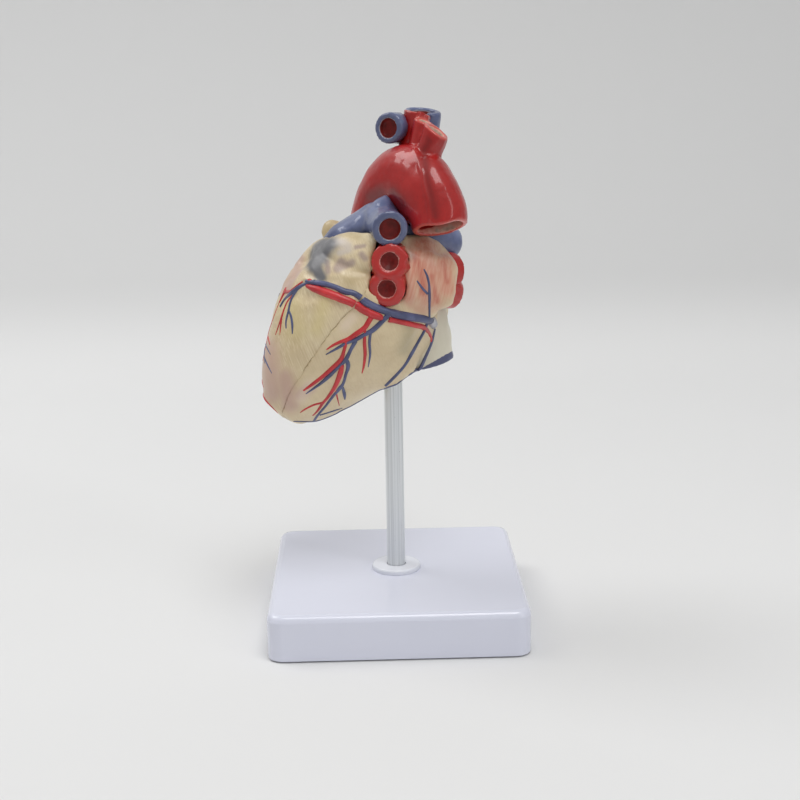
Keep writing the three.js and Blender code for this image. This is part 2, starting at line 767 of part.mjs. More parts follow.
// A ring with leaflets that hang from it as a scalloped funnel, and the chords that hold them.
function leafletValve({ centre, axis }, radius, leaflets, chordEnds) {
  const sides = VALVE_SIDES;
  const across = ACROSS.clone().addScaledVector(axis, -ACROSS.dot(axis)).normalize();
  const deep = axis.clone().cross(across);
  const pointAt = (angle, distance, depth) =>
    centre
      .clone()
      .addScaledVector(axis, depth)
      .addScaledVector(across, distance * Math.cos(angle))
      .addScaledVector(deep, distance * Math.sin(angle));
  const lengthAt = (angle) => LEAFLET_LENGTH * (0.6 + 0.4 * Math.abs(Math.cos((leaflets * angle) / 2)));
  const rows = [
    [radius, 0, 0],
    [radius, ANNULUS_HEIGHT, 0],
    [radius - 1.5, ANNULUS_HEIGHT + 0.6, 0],
    [radius * 0.72, ANNULUS_HEIGHT, 0.5],
    [radius * 0.45, ANNULUS_HEIGHT, 1],
    [radius * 0.45 - 1, ANNULUS_HEIGHT, 0.98],
    [radius * 0.72 - 1.2, ANNULUS_HEIGHT, 0.42],
    [radius - 3.4, 1, 0],
    [radius - 2.4, 0, 0],
  ];
  const loops = rows.map(([distance, depth, share]) =>
    Array.from({ length: sides }, (_, j) => {
      const angle = (2 * Math.PI * j) / sides;
      return pointAt(angle, distance, depth + share * lengthAt(angle));
    }));
  const ring = solidOf(bandOf(loops));
  const chords = chordEnds.flatMap((end, i) =>
    [-0.35, 0, 0.35].map((spread) => {
      const angle = (2 * Math.PI * i) / leaflets + spread;
      const start = pointAt(angle, radius * 0.45 - 0.5, ANNULUS_HEIGHT + lengthAt(angle) - 0.8);
      return sweep([[start, CHORD_RADIUS], [end, CHORD_RADIUS]], { side: ACROSS, rings: 1, sides: 4 });
    }));
  const room = leftVentricle(-LEFT_WALL - GAP);
  return joined([ring, ...chords.map((chord) => chord.intersect(room))]);
}

// Three pockets that meet in the middle of a vessel's root.
function pocketValve(centre, axis, radius) {
  const sides = VALVE_SIDES;
  const across = ACROSS.clone().addScaledVector(axis, -ACROSS.dot(axis)).normalize();
  const deep = axis.clone().cross(across);
  const sag = (angle, share) => -CUSP_DEPTH * Math.abs(Math.sin(1.5 * angle)) * Math.sin(Math.PI * share);
  const loopAt = (share, lift) =>
    Array.from({ length: sides }, (_, j) => {
      const angle = (2 * Math.PI * j) / sides;
      return centre
        .clone()
        .addScaledVector(axis, sag(angle, share) + lift)
        .addScaledVector(across, share * radius * Math.cos(angle))
        .addScaledVector(deep, share * radius * Math.sin(angle));
    });
  const shares = [0.35, 0.7, 1];
  const under = shares.map((share) => loopAt(share, 0));
  const over = shares.map((share) => loopAt(share, CUSP_THICKNESS)).reverse();
  const middle = centre.clone().addScaledVector(axis, CUSP_THICKNESS);
  return solidOf(stackOf([...under, ...over], centre.clone(), middle));
}

const materials = {
  red: new THREE.MeshStandardMaterial({ color: 0xa82722, roughness: 0.2 }),
  blue: new THREE.MeshStandardMaterial({ color: 0x5f6a92, roughness: 0.4 }),
  cream: new THREE.MeshStandardMaterial({ color: 0xc9bc95, roughness: 0.35 }),
  pink: new THREE.MeshStandardMaterial({ color: 0xd09a86, roughness: 0.35 }),
  white: new THREE.MeshStandardMaterial({ color: 0xdfe1ec, roughness: 0.15 }),
  rubber: new THREE.MeshStandardMaterial({ color: 0x3a3a3d, roughness: 0.9 }),
  metal: new THREE.MeshStandardMaterial({ color: 0xbfc1c2, roughness: 0.35, metalness: 1 }),
};

const whole = new THREE.Group();
const heart = new THREE.Group();
heart.position.z = HEART_HEIGHT;
heart.rotation.z = TURN_ON_ROD;
whole.add(heart);

function addPiece(group, name, solid, material) {
  const mesh = new THREE.Mesh(geometryOf(solid), material);
  mesh.name = name;
  group.add(mesh);
  return mesh;
}

addPiece(whole, "base_shell", baseShell(), materials.white);
footPlaces.forEach((place, i) => {
  addPiece(whole, `base_foot_${i + 1}`, baseFoot(), materials.rubber).position.copy(place);
});
addPiece(whole, "rod_collar", rodCollar(), materials.white);
addPiece(whole, "support_rod", supportRod(), materials.metal);
addPiece(whole, "rod_screw", rodScrew(), materials.metal);
addPiece(whole, "rod_washer", rodWasher(), materials.metal);

addPiece(heart, "rod_socket", rodSocket(), materials.metal);
addPiece(heart, "rear_heart_wall", rearHeartWall(), materials.cream);
addPiece(heart, "front_heart_wall", frontHeartWall(), materials.cream);
PIN_PLACES.forEach((place, i) => {
  addPiece(heart, `locating_pin_${i + 1}`, pinAt(place), materials.metal);
});
addPiece(heart, "left_atrium", leftAtriumShell(), materials.pink);
addPiece(heart, "right_atrium", rightAtriumShell(), materials.cream);
addPiece(heart, "right_auricle", rightAuricleShell(), materials.cream);
addPiece(heart, "aortic_arch", aorticArch(), materials.red);
addPiece(heart, "pulmonary_artery", pulmonaryArtery(), materials.blue);
addPiece(heart, "superior_vena_cava", superiorVenaCava(), materials.blue);
addPiece(heart, "inferior_vena_cava", inferiorVenaCava(), materials.blue);
addPiece(heart, "left_pulmonary_veins", pulmonaryVeins(LEFT_LUNG_VEINS), materials.red);
addPiece(heart, "right_pulmonary_veins", pulmonaryVeins(RIGHT_LUNG_VEINS), materials.red);
const mitralValve = leafletValve(MITRAL, MITRAL_RADIUS, 2, [at(-36, 6, 22), at(-22, 6, 12)]);
addPiece(heart, "mitral_valve", mitralValve, materials.pink);
addPiece(heart, "tricuspid_valve", leafletValve(TRICUSPID, TRICUSPID_RADIUS, 3, []), materials.pink);
const AORTIC_VALVE = AORTIC_ROOT.clone().add(at(0.4, 0.5, 9));
const TRUNK_VALVE = TRUNK_ROOT.clone().addScaledVector(TRUNK_AXIS, 7);
const pocketRadius = (vesselRadius) => vesselRadius - VESSEL_WALL - POCKET_PLAY;
addPiece(heart, "aortic_valve", pocketValve(AORTIC_VALVE, UP, pocketRadius(AORTA_RADIUS)), materials.pink);
addPiece(heart, "pulmonary_valve", pocketValve(TRUNK_VALVE, TRUNK_AXIS, pocketRadius(TRUNK_RADIUS)), materials.pink);

export default whole;
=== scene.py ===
"""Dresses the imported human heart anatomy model: a hand-painted cast heart on a rod and a square base.

Each CAD piece of the heart is copied and refined into a smooth casting, gets its small forms and its paint,
and the coronary vessels are laid over the walls. Everything is in metres, in the frame of the CAD.
"""

import itertools
import json
import math

import bmesh
import bpy
import numpy as np
from bpy.props import FloatProperty, FloatVectorProperty, IntProperty, PointerProperty
from mathutils import Matrix, Vector, geometry
from mathutils.bvhtree import BVHTree

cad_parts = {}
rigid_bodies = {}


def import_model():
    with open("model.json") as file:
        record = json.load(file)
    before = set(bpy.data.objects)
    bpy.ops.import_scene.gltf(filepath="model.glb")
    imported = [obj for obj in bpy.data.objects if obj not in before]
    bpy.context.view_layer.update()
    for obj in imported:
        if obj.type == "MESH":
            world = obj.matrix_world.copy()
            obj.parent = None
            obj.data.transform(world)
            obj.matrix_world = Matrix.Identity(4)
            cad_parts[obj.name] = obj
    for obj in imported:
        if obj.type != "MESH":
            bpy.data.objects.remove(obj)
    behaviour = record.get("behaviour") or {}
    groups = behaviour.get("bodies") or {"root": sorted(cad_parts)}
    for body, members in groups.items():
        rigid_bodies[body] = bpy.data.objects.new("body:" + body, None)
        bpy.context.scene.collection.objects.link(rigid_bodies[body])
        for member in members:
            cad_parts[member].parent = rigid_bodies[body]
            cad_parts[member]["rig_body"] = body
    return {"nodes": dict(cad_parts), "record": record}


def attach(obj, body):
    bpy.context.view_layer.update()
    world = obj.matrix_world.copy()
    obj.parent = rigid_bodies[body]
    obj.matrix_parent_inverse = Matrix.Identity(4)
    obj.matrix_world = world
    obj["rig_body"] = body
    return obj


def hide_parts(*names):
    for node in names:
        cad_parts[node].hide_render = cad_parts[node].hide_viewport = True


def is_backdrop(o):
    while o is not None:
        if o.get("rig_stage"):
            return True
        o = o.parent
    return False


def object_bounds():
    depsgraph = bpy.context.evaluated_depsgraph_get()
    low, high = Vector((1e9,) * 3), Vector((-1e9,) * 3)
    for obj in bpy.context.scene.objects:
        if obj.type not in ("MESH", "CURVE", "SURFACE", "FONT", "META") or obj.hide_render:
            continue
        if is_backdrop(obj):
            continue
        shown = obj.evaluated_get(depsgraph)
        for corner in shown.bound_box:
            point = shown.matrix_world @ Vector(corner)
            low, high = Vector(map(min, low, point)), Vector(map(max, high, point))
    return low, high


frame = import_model()
CAD_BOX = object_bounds()

bl_info = {
    "name": "Heart model dresser",
    "version": (1, 0, 0),
    "blender": (4, 5, 0),
    "location": "3D View > Sidebar > Heart model",
    "description": "Builds the painted look of a heart anatomy model round its CAD frame",
    "category": "Object",
}

MM = 0.001
PICTURE = 800  # pixels on each side
SENSOR = 36  # mm
ORIGIN = Vector((0, 0, 0.122))  # of the heart's own axes, on the rod's axis
MIDDLE_LINE = ((-5, 5, 54), (-42, 30, -2))  # from the heart's base to its apex, in mm of its own axes
PICTURE_DEPTHS = (0.55, 0.85)  # how far from the camera the heart lies
OUTSIDE = 0.15  # a length that leads out of the heart from its middle
ROUTE_STEP = 1.6  # pixels between the points of a vessel
FAR_ROUTE_STEP = 1.2  # mm between the points of a vessel on the far side
JUMP = 4 * MM  # a point further than this from both neighbours has slipped to another surface
CAST_EDGE = math.radians(38)  # a sharper fold of a CAD node is an edge
MOULD_EDGE = math.radians(31)
CREASE = 0.05  # mm that a surface lies under its wider mean where a fillet begins
CREASE_RAMP = 0.06  # mm more until the fillet is whole


# ---------------------------------------------------------------- settings


class HeartStageSettings(bpy.types.PropertyGroup):
    """Camera, floor and lights"""

    place: FloatVectorProperty(
        name="Camera place", description="Where the camera stands", subtype="TRANSLATION", unit="LENGTH",
        default=(-0.01083, -0.6836, 0.2838),
    )
    azimuth: FloatProperty(
        name="Azimuth", description="How far the camera is turned to the left of +Y", subtype="ANGLE",
        default=math.radians(-1.19),
    )
    pitch: FloatProperty(
        name="Pitch", description="How far the camera looks down", subtype="ANGLE", default=math.radians(13.84)
    )
    roll: FloatProperty(
        name="Roll", description="How far the camera is tilted about its view", subtype="ANGLE",
        default=math.radians(-0.96),
    )
    lens: FloatProperty(name="Lens", description="Focal length in mm on a 36 mm sensor", default=61.515, min=10)
    key_power: FloatProperty(name="Key light", description="Power of the overhead softbox in watts", default=16)
    left_power: FloatProperty(name="Left light", description="Power of the softbox on the left in watts", default=8)
    side_power: FloatProperty(name="Side light", description="Power of the strip light in watts", default=1.6)
    ambient: FloatProperty(name="Ambient", description="Strength of the light from all round", default=0.58)
    sweep_start: FloatProperty(
        name="Sweep start", description="How far behind the stand the floor begins to curve up", unit="LENGTH",
        default=0.5,
    )
    sweep_radius: FloatProperty(
        name="Sweep radius", description="Radius of the curve between floor and backdrop", unit="LENGTH",
        default=0.45,
    )


class HeartFormSettings(bpy.types.PropertyGroup):
    """How the castings are refined"""

    voxel: FloatProperty(
        name="Grain", description="Size of the mesh cells on the castings", unit="LENGTH", default=0.8 * MM,
        min=0.4 * MM,
    )
    roundness: FloatProperty(
        name="Roundness", description="How far the facets are drawn out to the curved form", default=0.7, min=0,
        max=1,
    )
    softening: IntProperty(name="Softening", description="Smoothing passes over a casting", default=5, min=0)
    unevenness: FloatProperty(
        name="Unevenness", description="Height of the waviness of the cast surface", unit="LENGTH",
        default=0.35 * MM,
    )
    vessel_sunk: FloatProperty(
        name="Vessels sunk", description="How deep a coronary vessel lies in the wall, as a share of its radius",
        default=0.3, min=0, max=1,
    )


def colour_property(name, description, red, green, blue):
    """A colour setting, given as it is seen on a screen."""
    return FloatVectorProperty(
        name=name, description=description, subtype="COLOR_GAMMA", min=0, max=1,
        default=(red / 255, green / 255, blue / 255),
    )


class HeartPaintSettings(bpy.types.PropertyGroup):
    """The main colours"""

    muscle_deep: colour_property("Muscle, deep", "Darker cream of the heart's walls", 208, 187, 150)
    muscle_light: colour_property("Muscle, light", "Lighter cream of the heart's walls", 222, 204, 168)
    atrium_thin: colour_property("Atrium, thin", "Watercolour of the atria where it is thin", 214, 160, 138)
    atrium_thick: colour_property("Atrium, thick", "Watercolour of the atria where it is thick", 206, 132, 110)
    aorta_deep: colour_property("Aorta, deep", "Darker red of the aortic arch", 152, 16, 14)
    aorta_light: colour_property("Aorta, light", "Lighter red of the aortic arch", 176, 30, 26)
    lung_vein_deep: colour_property("Lung veins, deep", "Darker red of the lung veins", 160, 26, 24)
    lung_vein_light: colour_property("Lung veins, light", "Lighter red of the lung veins", 190, 42, 38)
    blue_deep: colour_property("Blue, deep", "Darker blue of the large blue vessels", 76, 84, 120)
    blue_light: colour_property("Blue, light", "Lighter blue of the large blue vessels", 112, 122, 158)
    artery_deep: colour_property("Coronary arteries, deep", "Their darker red", 178, 28, 34)
    artery_light: colour_property("Coronary arteries, light", "Their lighter red", 206, 46, 50)
    vein_deep: colour_property("Coronary veins, deep", "Their darker blue", 62, 68, 104)
    vein_light: colour_property("Coronary veins, light", "Their lighter blue", 86, 92, 130)
    base_light: colour_property("Base, light", "Lighter white of the base", 222, 224, 238)
    base_deep: colour_property("Base, deep", "Darker white of the base", 214, 217, 232)


# ---------------------------------------------------------------- the photograph's view


def camera_axes(stage):
    """The camera's right, up and back directions."""
    ahead = Vector((
        -math.sin(stage.azimuth) * math.cos(stage.pitch),
        math.cos(stage.azimuth) * math.cos(stage.pitch),
        -math.sin(stage.pitch),
    ))
    right = Vector((math.cos(stage.azimuth), math.sin(stage.azimuth), 0))
    up = right.cross(ahead)
    turn = Matrix.Rotation(stage.roll, 3, -ahead)
    return turn @ right, turn @ up, -ahead


def focal_length(stage):
    """The camera's focal length in pixels."""
    return stage.lens / SENSOR * PICTURE


def sight(u, v):
    """The ray through a pixel of the picture, as its start and direction."""
    stage = bpy.context.scene.heart_stage
    right, up, back = camera_axes(stage)
    across = (u - PICTURE / 2) / focal_length(stage)
    down = (v - PICTURE / 2) / focal_length(stage)
    return Vector(stage.place), (right * across - up * down - back).normalized()


def pixel_size(point):
    """How many metres one pixel spans at a point."""
    stage = bpy.context.scene.heart_stage
    depth = -(point - Vector(stage.place)).dot(camera_axes(stage)[2])
    return depth / focal_length(stage)


def project(points):
    """Where points are seen in the picture, in pixels."""
    stage = bpy.context.scene.heart_stage
    right, up, back = (np.array(axis) for axis in camera_axes(stage))
    run = points - np.array(stage.place)
    scale = focal_length(stage) / -(run @ back)
    return np.stack([PICTURE / 2 + run @ right * scale, PICTURE / 2 - run @ up * scale], axis=1)


def heart_point(right, front, up):
    """A point given in mm along the heart's own right, front and up."""
    turn = math.sqrt(0.5)
    return Vector((turn * (right - front), turn * (right + front), up)) * MM + ORIGIN


def heart_path(points):
    """A path of points given in mm along the heart's own axes."""
    return [heart_point(*p) for p in points]


def outwards(points):
    """The run to each point from the nearest one on the line through the heart's middle."""
    start, end = (np.array(p) for p in heart_path(MIDDLE_LINE))
    run = end - start
    share = np.clip((points - start) @ run / (run @ run), 0, 1)
    return points - (start + share[:, None] * run)


# ---------------------------------------------------------------- meshes


def coordinates(mesh):
    """The places of a mesh's points, one row each."""
    points = np.empty(len(mesh.vertices) * 3)
    mesh.vertices.foreach_get("co", points)
    return points.reshape(-1, 3)


def normals(mesh):
    """The outward directions at a mesh's points, one row each."""
    found = np.empty(len(mesh.vertices) * 3, dtype=np.float32)
    mesh.vertex_normals.foreach_get("vector", found)
    return found.reshape(-1, 3).astype(float)


def place_points(mesh, points):
    """Moves a mesh's points to new places."""
    mesh.vertices.foreach_set("co", points.reshape(-1))
    mesh.update()


def search_tree(mesh):
    """A tree that finds hits and nearest places on a mesh."""
    return BVHTree.FromPolygons([tuple(p) for p in coordinates(mesh)], [tuple(f.vertices) for f in mesh.polygons])


def new_object(name, mesh):
    """An object in the scene that shows a mesh or curve."""
    made = bpy.data.objects.new(name, mesh)
    bpy.context.scene.collection.objects.link(made)
    return made


def baked(obj):
    """Puts an object's modifiers into its mesh."""
    bpy.context.view_layer.update()
    graph = bpy.context.evaluated_depsgraph_get()
    mesh = bpy.data.meshes.new_from_object(obj.evaluated_get(graph))
    obj.modifiers.clear()
    old = obj.data
    obj.data = mesh
    if old.users == 0:
        bpy.data.meshes.remove(old)
    return obj


def merged_copy(*nodes):
    """The mesh of CAD nodes with its split corners joined and its sharp edges marked."""
    cells = bmesh.new()
    for node in nodes:
        cells.from_mesh(frame["nodes"][node].data)
    bmesh.ops.remove_doubles(cells, verts=cells.verts, dist=1e-6)
    bmesh.ops.triangulate(cells, faces=cells.faces)
    bmesh.ops.recalc_face_normals(cells, faces=cells.faces)
    for face in cells.faces:
        face.smooth = True
    mesh = bpy.data.meshes.new(nodes[0] + "_merged")
    cells.to_mesh(mesh)
    cells.free()
    mesh.set_sharp_from_angle(angle=CAST_EDGE)
    return mesh


class CurvedForm:
    """The curved surface that a faceted mesh stands for, from the normals at the corners of its facets."""

    def __init__(self, mesh):
        corners = np.empty(len(mesh.loops), dtype=np.int32)
        mesh.loops.foreach_get("vertex_index", corners)
        self.points = coordinates(mesh)[corners.reshape(-1, 3)]
        bends = np.empty(len(mesh.loops) * 3, dtype=np.float32)
        mesh.corner_normals.foreach_get("vector", bends)
        self.normals = bends.reshape(-1, 3, 3).astype(float)
        self.tree = search_tree(mesh)

    def offsets(self, points):
        """How far each point of the facets lies from the curved surface."""
        feet = np.empty_like(points)
        facets = np.empty(len(points), dtype=int)
        for i, point in enumerate(points):
            foot, _, facet, _ = self.tree.find_nearest(point)
            feet[i] = foot
            facets[i] = facet
        a, b, c = (self.points[facets, k] for k in range(3))
        ab, ac, af = b - a, c - a, feet - a
        d00, d01, d11 = (ab * ab).sum(1), (ab * ac).sum(1), (ac * ac).sum(1)
        d20, d21 = (af * ab).sum(1), (af * ac).sum(1)
        area = np.maximum(d00 * d11 - d01 * d01, 1e-24)
        second = np.clip((d11 * d20 - d01 * d21) / area, 0, 1)
        third = np.clip((d00 * d21 - d01 * d20) / area, 0, 1)
        shares = np.stack([np.clip(1 - second - third, 0, 1), second, third], axis=1)
        offset = np.zeros_like(points)
        for k in range(3):
            normal = self.normals[facets, k]
            height = ((feet - self.points[facets, k]) * normal).sum(1, keepdims=True)
            offset -= shares[:, k : k + 1] * height * normal
        return offset


def soft_casting(*nodes, voxel=None, softening=None, unevenness=None):
    """A fine, smooth copy of a CAD node, or of several as glued and filled into one piece."""
    forms = bpy.context.scene.heart_forms
    mesh = merged_copy(*nodes)
    form = CurvedForm(mesh)
    grown = 0.2 * MM if len(nodes) > 1 else 0.0  # closes the clearances between nodes, and comes off again
    place_points(mesh, coordinates(mesh) + grown * normals(mesh))
    casting = new_object(nodes[0] + "_cast", mesh)
    remesh = casting.modifiers.new("Remesh", "REMESH")
    remesh.mode = "VOXEL"
    remesh.voxel_size = voxel or forms.voxel
    remesh.use_smooth_shade = True
    baked(casting)
    points = coordinates(casting.data)
    place_points(casting.data, points + forms.roundness * form.offsets(points) - grown * normals(casting.data))
    smooth = casting.modifiers.new("Smooth", "SMOOTH")
    smooth.factor = 0.5
    smooth.iterations = forms.softening if softening is None else softening
    wave = bpy.data.textures.get("cast_waves") or bpy.data.textures.new("cast_waves", "CLOUDS")
    wave.noise_scale = 0.009
    uneven = casting.modifiers.new("Uneven", "DISPLACE")
    uneven.texture = wave
    uneven.strength = forms.unevenness if unevenness is None else unevenness
    uneven.mid_level = 0.5
    return baked(casting)


def moulded_copy(node, edge=0.25 * MM):
    """A copy of a moulded or machined CAD node with its flat faces whole and its edges a little rounded."""
    mesh = merged_copy(node)
    cells = bmesh.new()
    cells.from_mesh(mesh)
    bmesh.ops.dissolve_limit(
        cells, angle_limit=math.radians(0.4), use_dissolve_boundaries=False, verts=cells.verts, edges=cells.edges
    )
    cells.to_mesh(mesh)
    cells.free()
    mesh.set_sharp_from_angle(angle=MOULD_EDGE)
    made = new_object(node + "_part", mesh)
    bevel = made.modifiers.new("Bevel", "BEVEL")
    bevel.width = edge
    bevel.segments = 2
    bevel.limit_method = "ANGLE"
    bevel.angle_limit = MOULD_EDGE
    weighted = made.modifiers.new("Weighted", "WEIGHTED_NORMAL")
    weighted.keep_sharp = True
    return made


def averager(mesh):
    """What gives the mean of values over the neighbours of each point."""
    pairs = np.empty(len(mesh.edges) * 2, dtype=np.int32)
    mesh.edges.foreach_get("vertices", pairs)
    first, second = pairs.reshape(-1, 2).T
    total = len(mesh.vertices)
    count = np.bincount(pairs, minlength=total).clip(1)

    def mean(values):
        return np.stack([
            (np.bincount(first, column[second], total) + np.bincount(second, column[first], total)) / count
            for column in values.T
        ], axis=1)

    return mean


def fillet(obj, limit, spread=5, passes=35):
    """Fills the creases where forms meet. limit gives each point's share, from 0 to 1."""
    mesh = obj.data
    mean = averager(mesh)
    points = coordinates(mesh)
    wide = points
    for _ in range(3):
        wide = mean(wide)
    hollow = ((wide - points) * normals(mesh)).sum(1) / MM
    share = (np.clip((hollow - CREASE) / CREASE_RAMP, 0, 1) * limit)[:, None]
    for _ in range(spread):
        share = np.maximum(share, mean(share))
    share = share * limit[:, None]
    for _ in range(passes):
        points = points + share * (mean(points) - points)
    place_points(mesh, points)


def vicinity(obj, path):
    """Each point's share for a fillet near a path: 1 up to 5 mm from it, and 0 from 13 mm on."""
    return np.clip(1.6 - distance_to_path(coordinates(obj.data), path) / (8 * MM), 0, 1)


def draw_out(objects, skin, *pulls, sharp=False):
    """Pulls the surface of objects in the picture, one pull after the other.

    A pull is a pixel of the skin, the mm to the right and up, and the width in mm over which it dies away.
    """
    right, up, _ = camera_axes(bpy.context.scene.heart_stage)
    for pixel, move, width in pulls:
        place = skin.under_pixel(*pixel)[0]
        way = np.array(right * move[0] + up * move[1]) * MM
        for obj in objects:
            points = coordinates(obj.data)
            near = distance_to_path(points, [place]) / (width * MM)
            share = np.clip(1 - near, 0, 1) if sharp else np.exp(-(near**2))
            place_points(obj.data, points + share[:, None] * way)


def slant(obj, axis, radius, nearer, righter, lift=0.0, reach=12.0, others=()):
    """Cuts a vessel's mouth at a slant, by mm down for each mm nearer to the camera and further right.

    What lies nearer to the axis of one of the others stays.
    """
    right, _, back = (np.array(a) for a in camera_axes(bpy.context.scene.heart_stage))
    base, end = (np.array(p) for p in heart_path(axis[-2:]))
    out = (end - base) / np.linalg.norm(end - base)
    points = coordinates(obj.data)
    run = (points - end) / MM
    along = run @ out
    across = run - along[:, None] * out
    share = np.clip(1 + along / reach, 0, 1)
    share = share * share * (3 - 2 * share) * np.clip(radius + 1 - np.linalg.norm(across, axis=1), 0, 1)
    own = distance_to_path(points, heart_path(axis))
    for other in others:
        lead = distance_to_path(points, heart_path(other)) - own
        share = share * np.clip(0.5 + lead / (2 * MM), 0, 1)
    drop = share * (nearer * (across @ back) + righter * (across @ right) - lift)
    place_points(obj.data, points - (drop * MM)[:, None] * out)


def close_seam(first, second, reach=0.9 * MM, left=0.015 * MM):
    """Draws the facing edges of two castings towards each other, so that their seam shows as a fine line."""
    trees = {obj: search_tree(obj.data) for obj in (first, second)}
    moves = {}
    for obj, other in ((first, second), (second, first)):
        points = coordinates(obj.data)
        facing = normals(obj.data)
        step = np.zeros(len(points))
        for i, point in enumerate(points):
            place, normal, _, distance = trees[other].find_nearest(point, reach)
            if place is not None and Vector(facing[i]).dot(normal) < -0.2:
                step[i] = max(distance - left, 0) / 2
        moves[obj] = points + facing * step[:, None]
    for obj, points in moves.items():
        place_points(obj.data, points)


def distance_to_path(points, path):
    """How far each point lies from a path of one or more points."""
    ends = np.array([tuple(p) for p in path])
    nearest = np.linalg.norm(points - ends[0], axis=1)
    for start, end in zip(ends[:-1], ends[1:]):
        run = end - start
        share = np.clip(((points - start) @ run) / max(run @ run, 1e-12), 0, 1)
        nearest = np.minimum(nearest, np.linalg.norm(points - start - share[:, None] * run, axis=1))
    return nearest


def falloff(points, path, width):
    """1 on a path, less and less over a width."""
    return np.exp(-((distance_to_path(points, path) / width) ** 2))


def raise_along(obj, path, width, height):
    """Lifts the surface near a path."""
    mesh = obj.data
    points = coordinates(mesh)
    place_points(mesh, points + normals(mesh) * (height * falloff(points, path, width))[:, None])


def put_mask(obj, name, values):
    """Keeps a number from 0 to 1 at each point, for the paint."""
    layer = obj.data.attributes.get(name) or obj.data.attributes.new(name, "FLOAT", "POINT")
    layer.data.foreach_set("value", np.clip(values, 0, 1).astype(np.float32))


def mask_values(obj, name):
    """The numbers that a mask keeps."""
    values = np.empty(len(obj.data.vertices), dtype=np.float32)
    obj.data.attributes[name].data.foreach_get("value", values)
    return values


class Skin:
    """The pieces of the heart as seen from the camera, to lay paint and vessels on."""

    def __init__(self, objects):
        self.layers = [(obj, search_tree(obj.data)) for obj in objects]

    def cast(self, start, direction):
        """The nearest hit of a ray as its place, normal and piece."""
        best = None
        for obj, tree in self.layers:
            place, normal, _, distance = tree.ray_cast(start, direction)
            if place is not None and (best is None or distance < best[3]):
                best = (place, normal, obj, distance)
        return best

    def under_pixel(self, u, v):
        """The place, normal and piece under a pixel, or the nearest surface to a ray that passes by."""
        start, direction = sight(u, v)
        hit = self.cast(start, direction)
        if hit:
            return hit[:3]
        near = None
        for step in np.linspace(*PICTURE_DEPTHS, 61):
            point = start + direction * step
            for obj, tree in self.layers:
                place, normal, _, distance = tree.find_nearest(point)
                if near is None or distance < near[3]:
                    near = (place, normal, obj, distance)
        return near[:3]

    def outside(self, point):
        """The outermost surface on the line from the heart's middle through a point."""
        start, end = heart_path(MIDDLE_LINE)
        middle, share = geometry.intersect_point_line(point, start, end)
        middle = start if share < 0 else end if share > 1 else middle
        away = (point - middle).normalized()
        return self.cast(middle + away * OUTSIDE, -away)[:3]


def curved_route(route, step):
    """Points every step along a smooth curve through a route of tuples."""
    knots = np.array(route, dtype=float)
    knots = np.vstack([2 * knots[0] - knots[1], knots, 2 * knots[-1] - knots[-2]])
    made = []
    for a, b, c, d in zip(knots[:-3], knots[1:-2], knots[2:-1], knots[3:]):
        count = max(1, round(float(np.linalg.norm((c - b)[:2])) / step))
        for t in np.arange(count) / count:
            made.append(0.5 * (2 * b + (c - a) * t + (2 * a - 5 * b + 4 * c - d) * t**2
                               + (3 * b - a - 3 * c + d) * t**3))
    made.append(knots[-2])
    return np.array(made)


def tubes(name, runs):
    """One piece of round tubes, each a list of points and radii."""
    curve = bpy.data.curves.new(name, "CURVE")
    curve.dimensions = "3D"
    curve.bevel_depth = 1
    curve.bevel_resolution = 3
    curve.use_fill_caps = True
    for points, radii in runs:
        spline = curve.splines.new("POLY")
        spline.points.add(len(points) - 1)
        for knot, point, radius in zip(spline.points, points, radii):
            knot.co = (*point, 1)
            knot.radius = radius
        spline.use_smooth = True
    made = new_object(name + "_curve", curve)
    bpy.context.view_layer.update()
    mesh = bpy.data.meshes.new_from_object(made.evaluated_get(bpy.context.evaluated_depsgraph_get()))
    bpy.data.objects.remove(made)
    bpy.data.curves.remove(curve)
    mesh.materials.clear()
    return new_object(name, mesh)


def dress(obj, material, *nodes):
    """Lets a piece stand for CAD nodes of one body: it goes on their body and gets its paint, and they are hidden.
    """
    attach(obj, frame["nodes"][nodes[0]]["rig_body"])
    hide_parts(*nodes)
    next(p["material_slot"] for p in frame["record"]["subparts"] if p["node"] == nodes[0])
    obj.data.materials.clear()
    obj.data.materials.append(material)
    return obj


# ---------------------------------------------------------------- paint


def shade(red, green, blue):
    """A colour as it is seen on a screen, as a shader's colour."""
    parts = (c / 255 for c in (red, green, blue))
    return (*(c / 12.92 if c <= 0.04045 else ((c + 0.055) / 1.055) ** 2.4 for c in parts), 1)


def chosen(name):
    """A colour of the paint settings, as it is seen on a screen."""
    return scaled(getattr(bpy.context.scene.heart_paints, name), 255)


def scaled(colour, share):
    """A colour with each part multiplied by a share."""
    return tuple(share * c for c in colour)


class Wire:
    """A value that flows between shader nodes, with arithmetic."""

    def __init__(self, nodes, socket):
        self.nodes = nodes
        self.socket = socket

    def _math(self, operation, a, b=None):
        inputs = {0: a} if b is None else {0: a, 1: b}
        return self.nodes.node("ShaderNodeMath", 0, {"operation": operation}, inputs)

    def __add__(self, other):
        return self._math("ADD", self, other)

    def __radd__(self, other):
        return self._math("ADD", other, self)

    def __sub__(self, other):
        return self._math("SUBTRACT", self, other)

    def __rsub__(self, other):
        return self._math("SUBTRACT", other, self)

    def __mul__(self, other):
        return self._math("MULTIPLY", self, other)

    def __rmul__(self, other):
        return self._math("MULTIPLY", other, self)

    def between(self, low, high):
        """0 below low, 1 above high, smooth between them."""
        return self.nodes.node(
            "ShaderNodeMapRange", 0, {"interpolation_type": "SMOOTHSTEP", "clamp": True},
            {0: self, 1: low, 2: high, 3: 0.0, 4: 1.0},
        )


